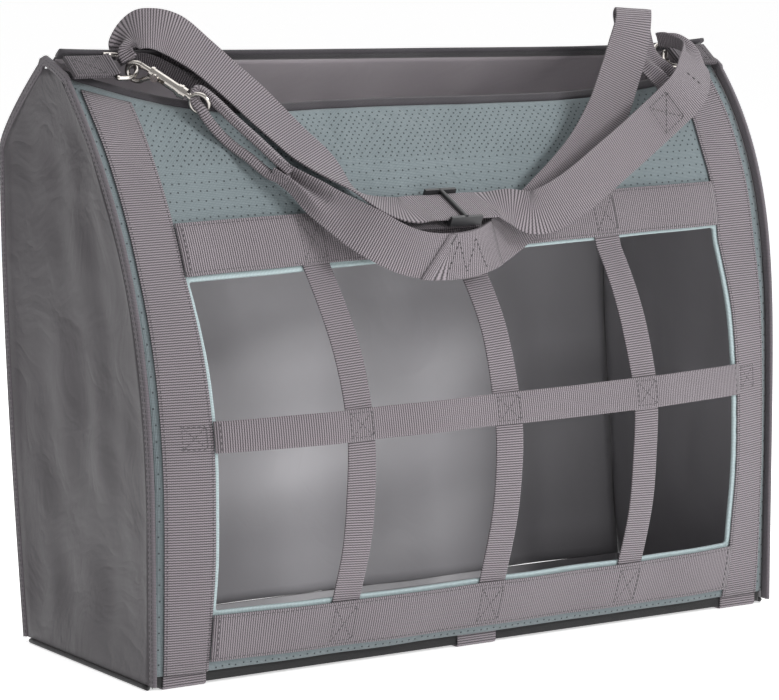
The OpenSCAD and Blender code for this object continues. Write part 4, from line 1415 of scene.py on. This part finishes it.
# %% Dress the hard parts
for name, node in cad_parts.items():
    piece = bpy.data.objects.get(name)
    if piece is None:
        continue
    finish = (spring_wire if "spring" in name else nickel if "snap" in name or name.endswith("_ring")
              else black_plastic if name == "slider" else None)
    if finish:
        for slot in piece.material_slots:
            slot.material = finish


# %% [markdown]
# ## What each cloth was cut from
# Every sheet says the flat size it was cut to. The straps' lengths are those of
# their routes, and the panels' are the lengths of cloth up their middles.

def run_length(surface, x, z0, z1):
    """Length of cloth up a panel, at one place across it."""
    zs = np.linspace(z0, z1, 120)
    return float(travelled(surface(np.full_like(zs, x), zs, np.zeros_like(zs)))[-1])


def cut(name, width, length, area=None):
    """Print a sheet's flat cut, and how much cloth the piece holds against it."""
    piece = bpy.data.objects[name]
    held_area = sum(face.area for face in piece.data.polygons) / 2
    print(f"{name:22} cut {width:.3f} x {length:.3f} m, cloth/cut {held_area / (area or width * length):.2f}")


top_middle = float(np.ravel(front_top(np.array([0.0])))[0])
back_middle = float(np.ravel(back_top(np.array([0.0])))[0])
front_length = run_length(on_front, 0, LIP, top_middle)
back_length = run_length(on_back, 0, LIP, back_middle)
hole_area = 2 * HOLE_X * (HOLE_Z1 - HOLE_Z0)
cut("front_cloth", 2 * PANEL_X, front_length, area=2 * PANEL_X * front_length - hole_area)
cut("back_cloth", 2 * PANEL_X, back_length)
tray_length, tray_width = 2 * (PANEL_X + LIP), BAG_D + 2 * LIP
cut("tray_cloth", tray_width, tray_length)
for side, end in ((-1, "left"), (1, "right")):
    zs = np.linspace(GUSSET_Z0, BAG_H - 16 * MM, 120)
    xs = np.full_like(zs, side * BAG_W / 2)
    depths = back_y(xs, zs) - front_y(xs, zs)
    cut(end + "_gusset_cloth", float(depths.max()), float(zs[-1] - zs[0]),
        area=float(depths.mean() * (zs[-1] - zs[0])))
    upright = run_length(on_front, side * (FRAME_X + WEB / 2), LIP, BAG_H - 10 * MM)
    cut(end + "_upright", WEB, upright)
    cut(end + "_tab_webbing", 25 * MM, 86 * MM)
for end in ("left", "centre", "right"):
    divider = run_length(on_front, 0, WINDOW_Z0 - 6 * MM, WINDOW_Z1 + 6 * MM)
    cut(end + "_divider_strap", NARROW, divider)
    cut(end + "_base_wrap", WEB, BAG_D + 2 * LIP)
for end, (_, width) in BANDS.items():
    cut(end + "_band_strap", width, 2 * FRAME_X)
cut("carry_webbing", WEB, carry_length)
cut("carry_return_webbing", WEB, return_length)
cut("carry_tail_webbing", WEB, tail_length)
cut("hanging_webbing", WEB, hanging_length)
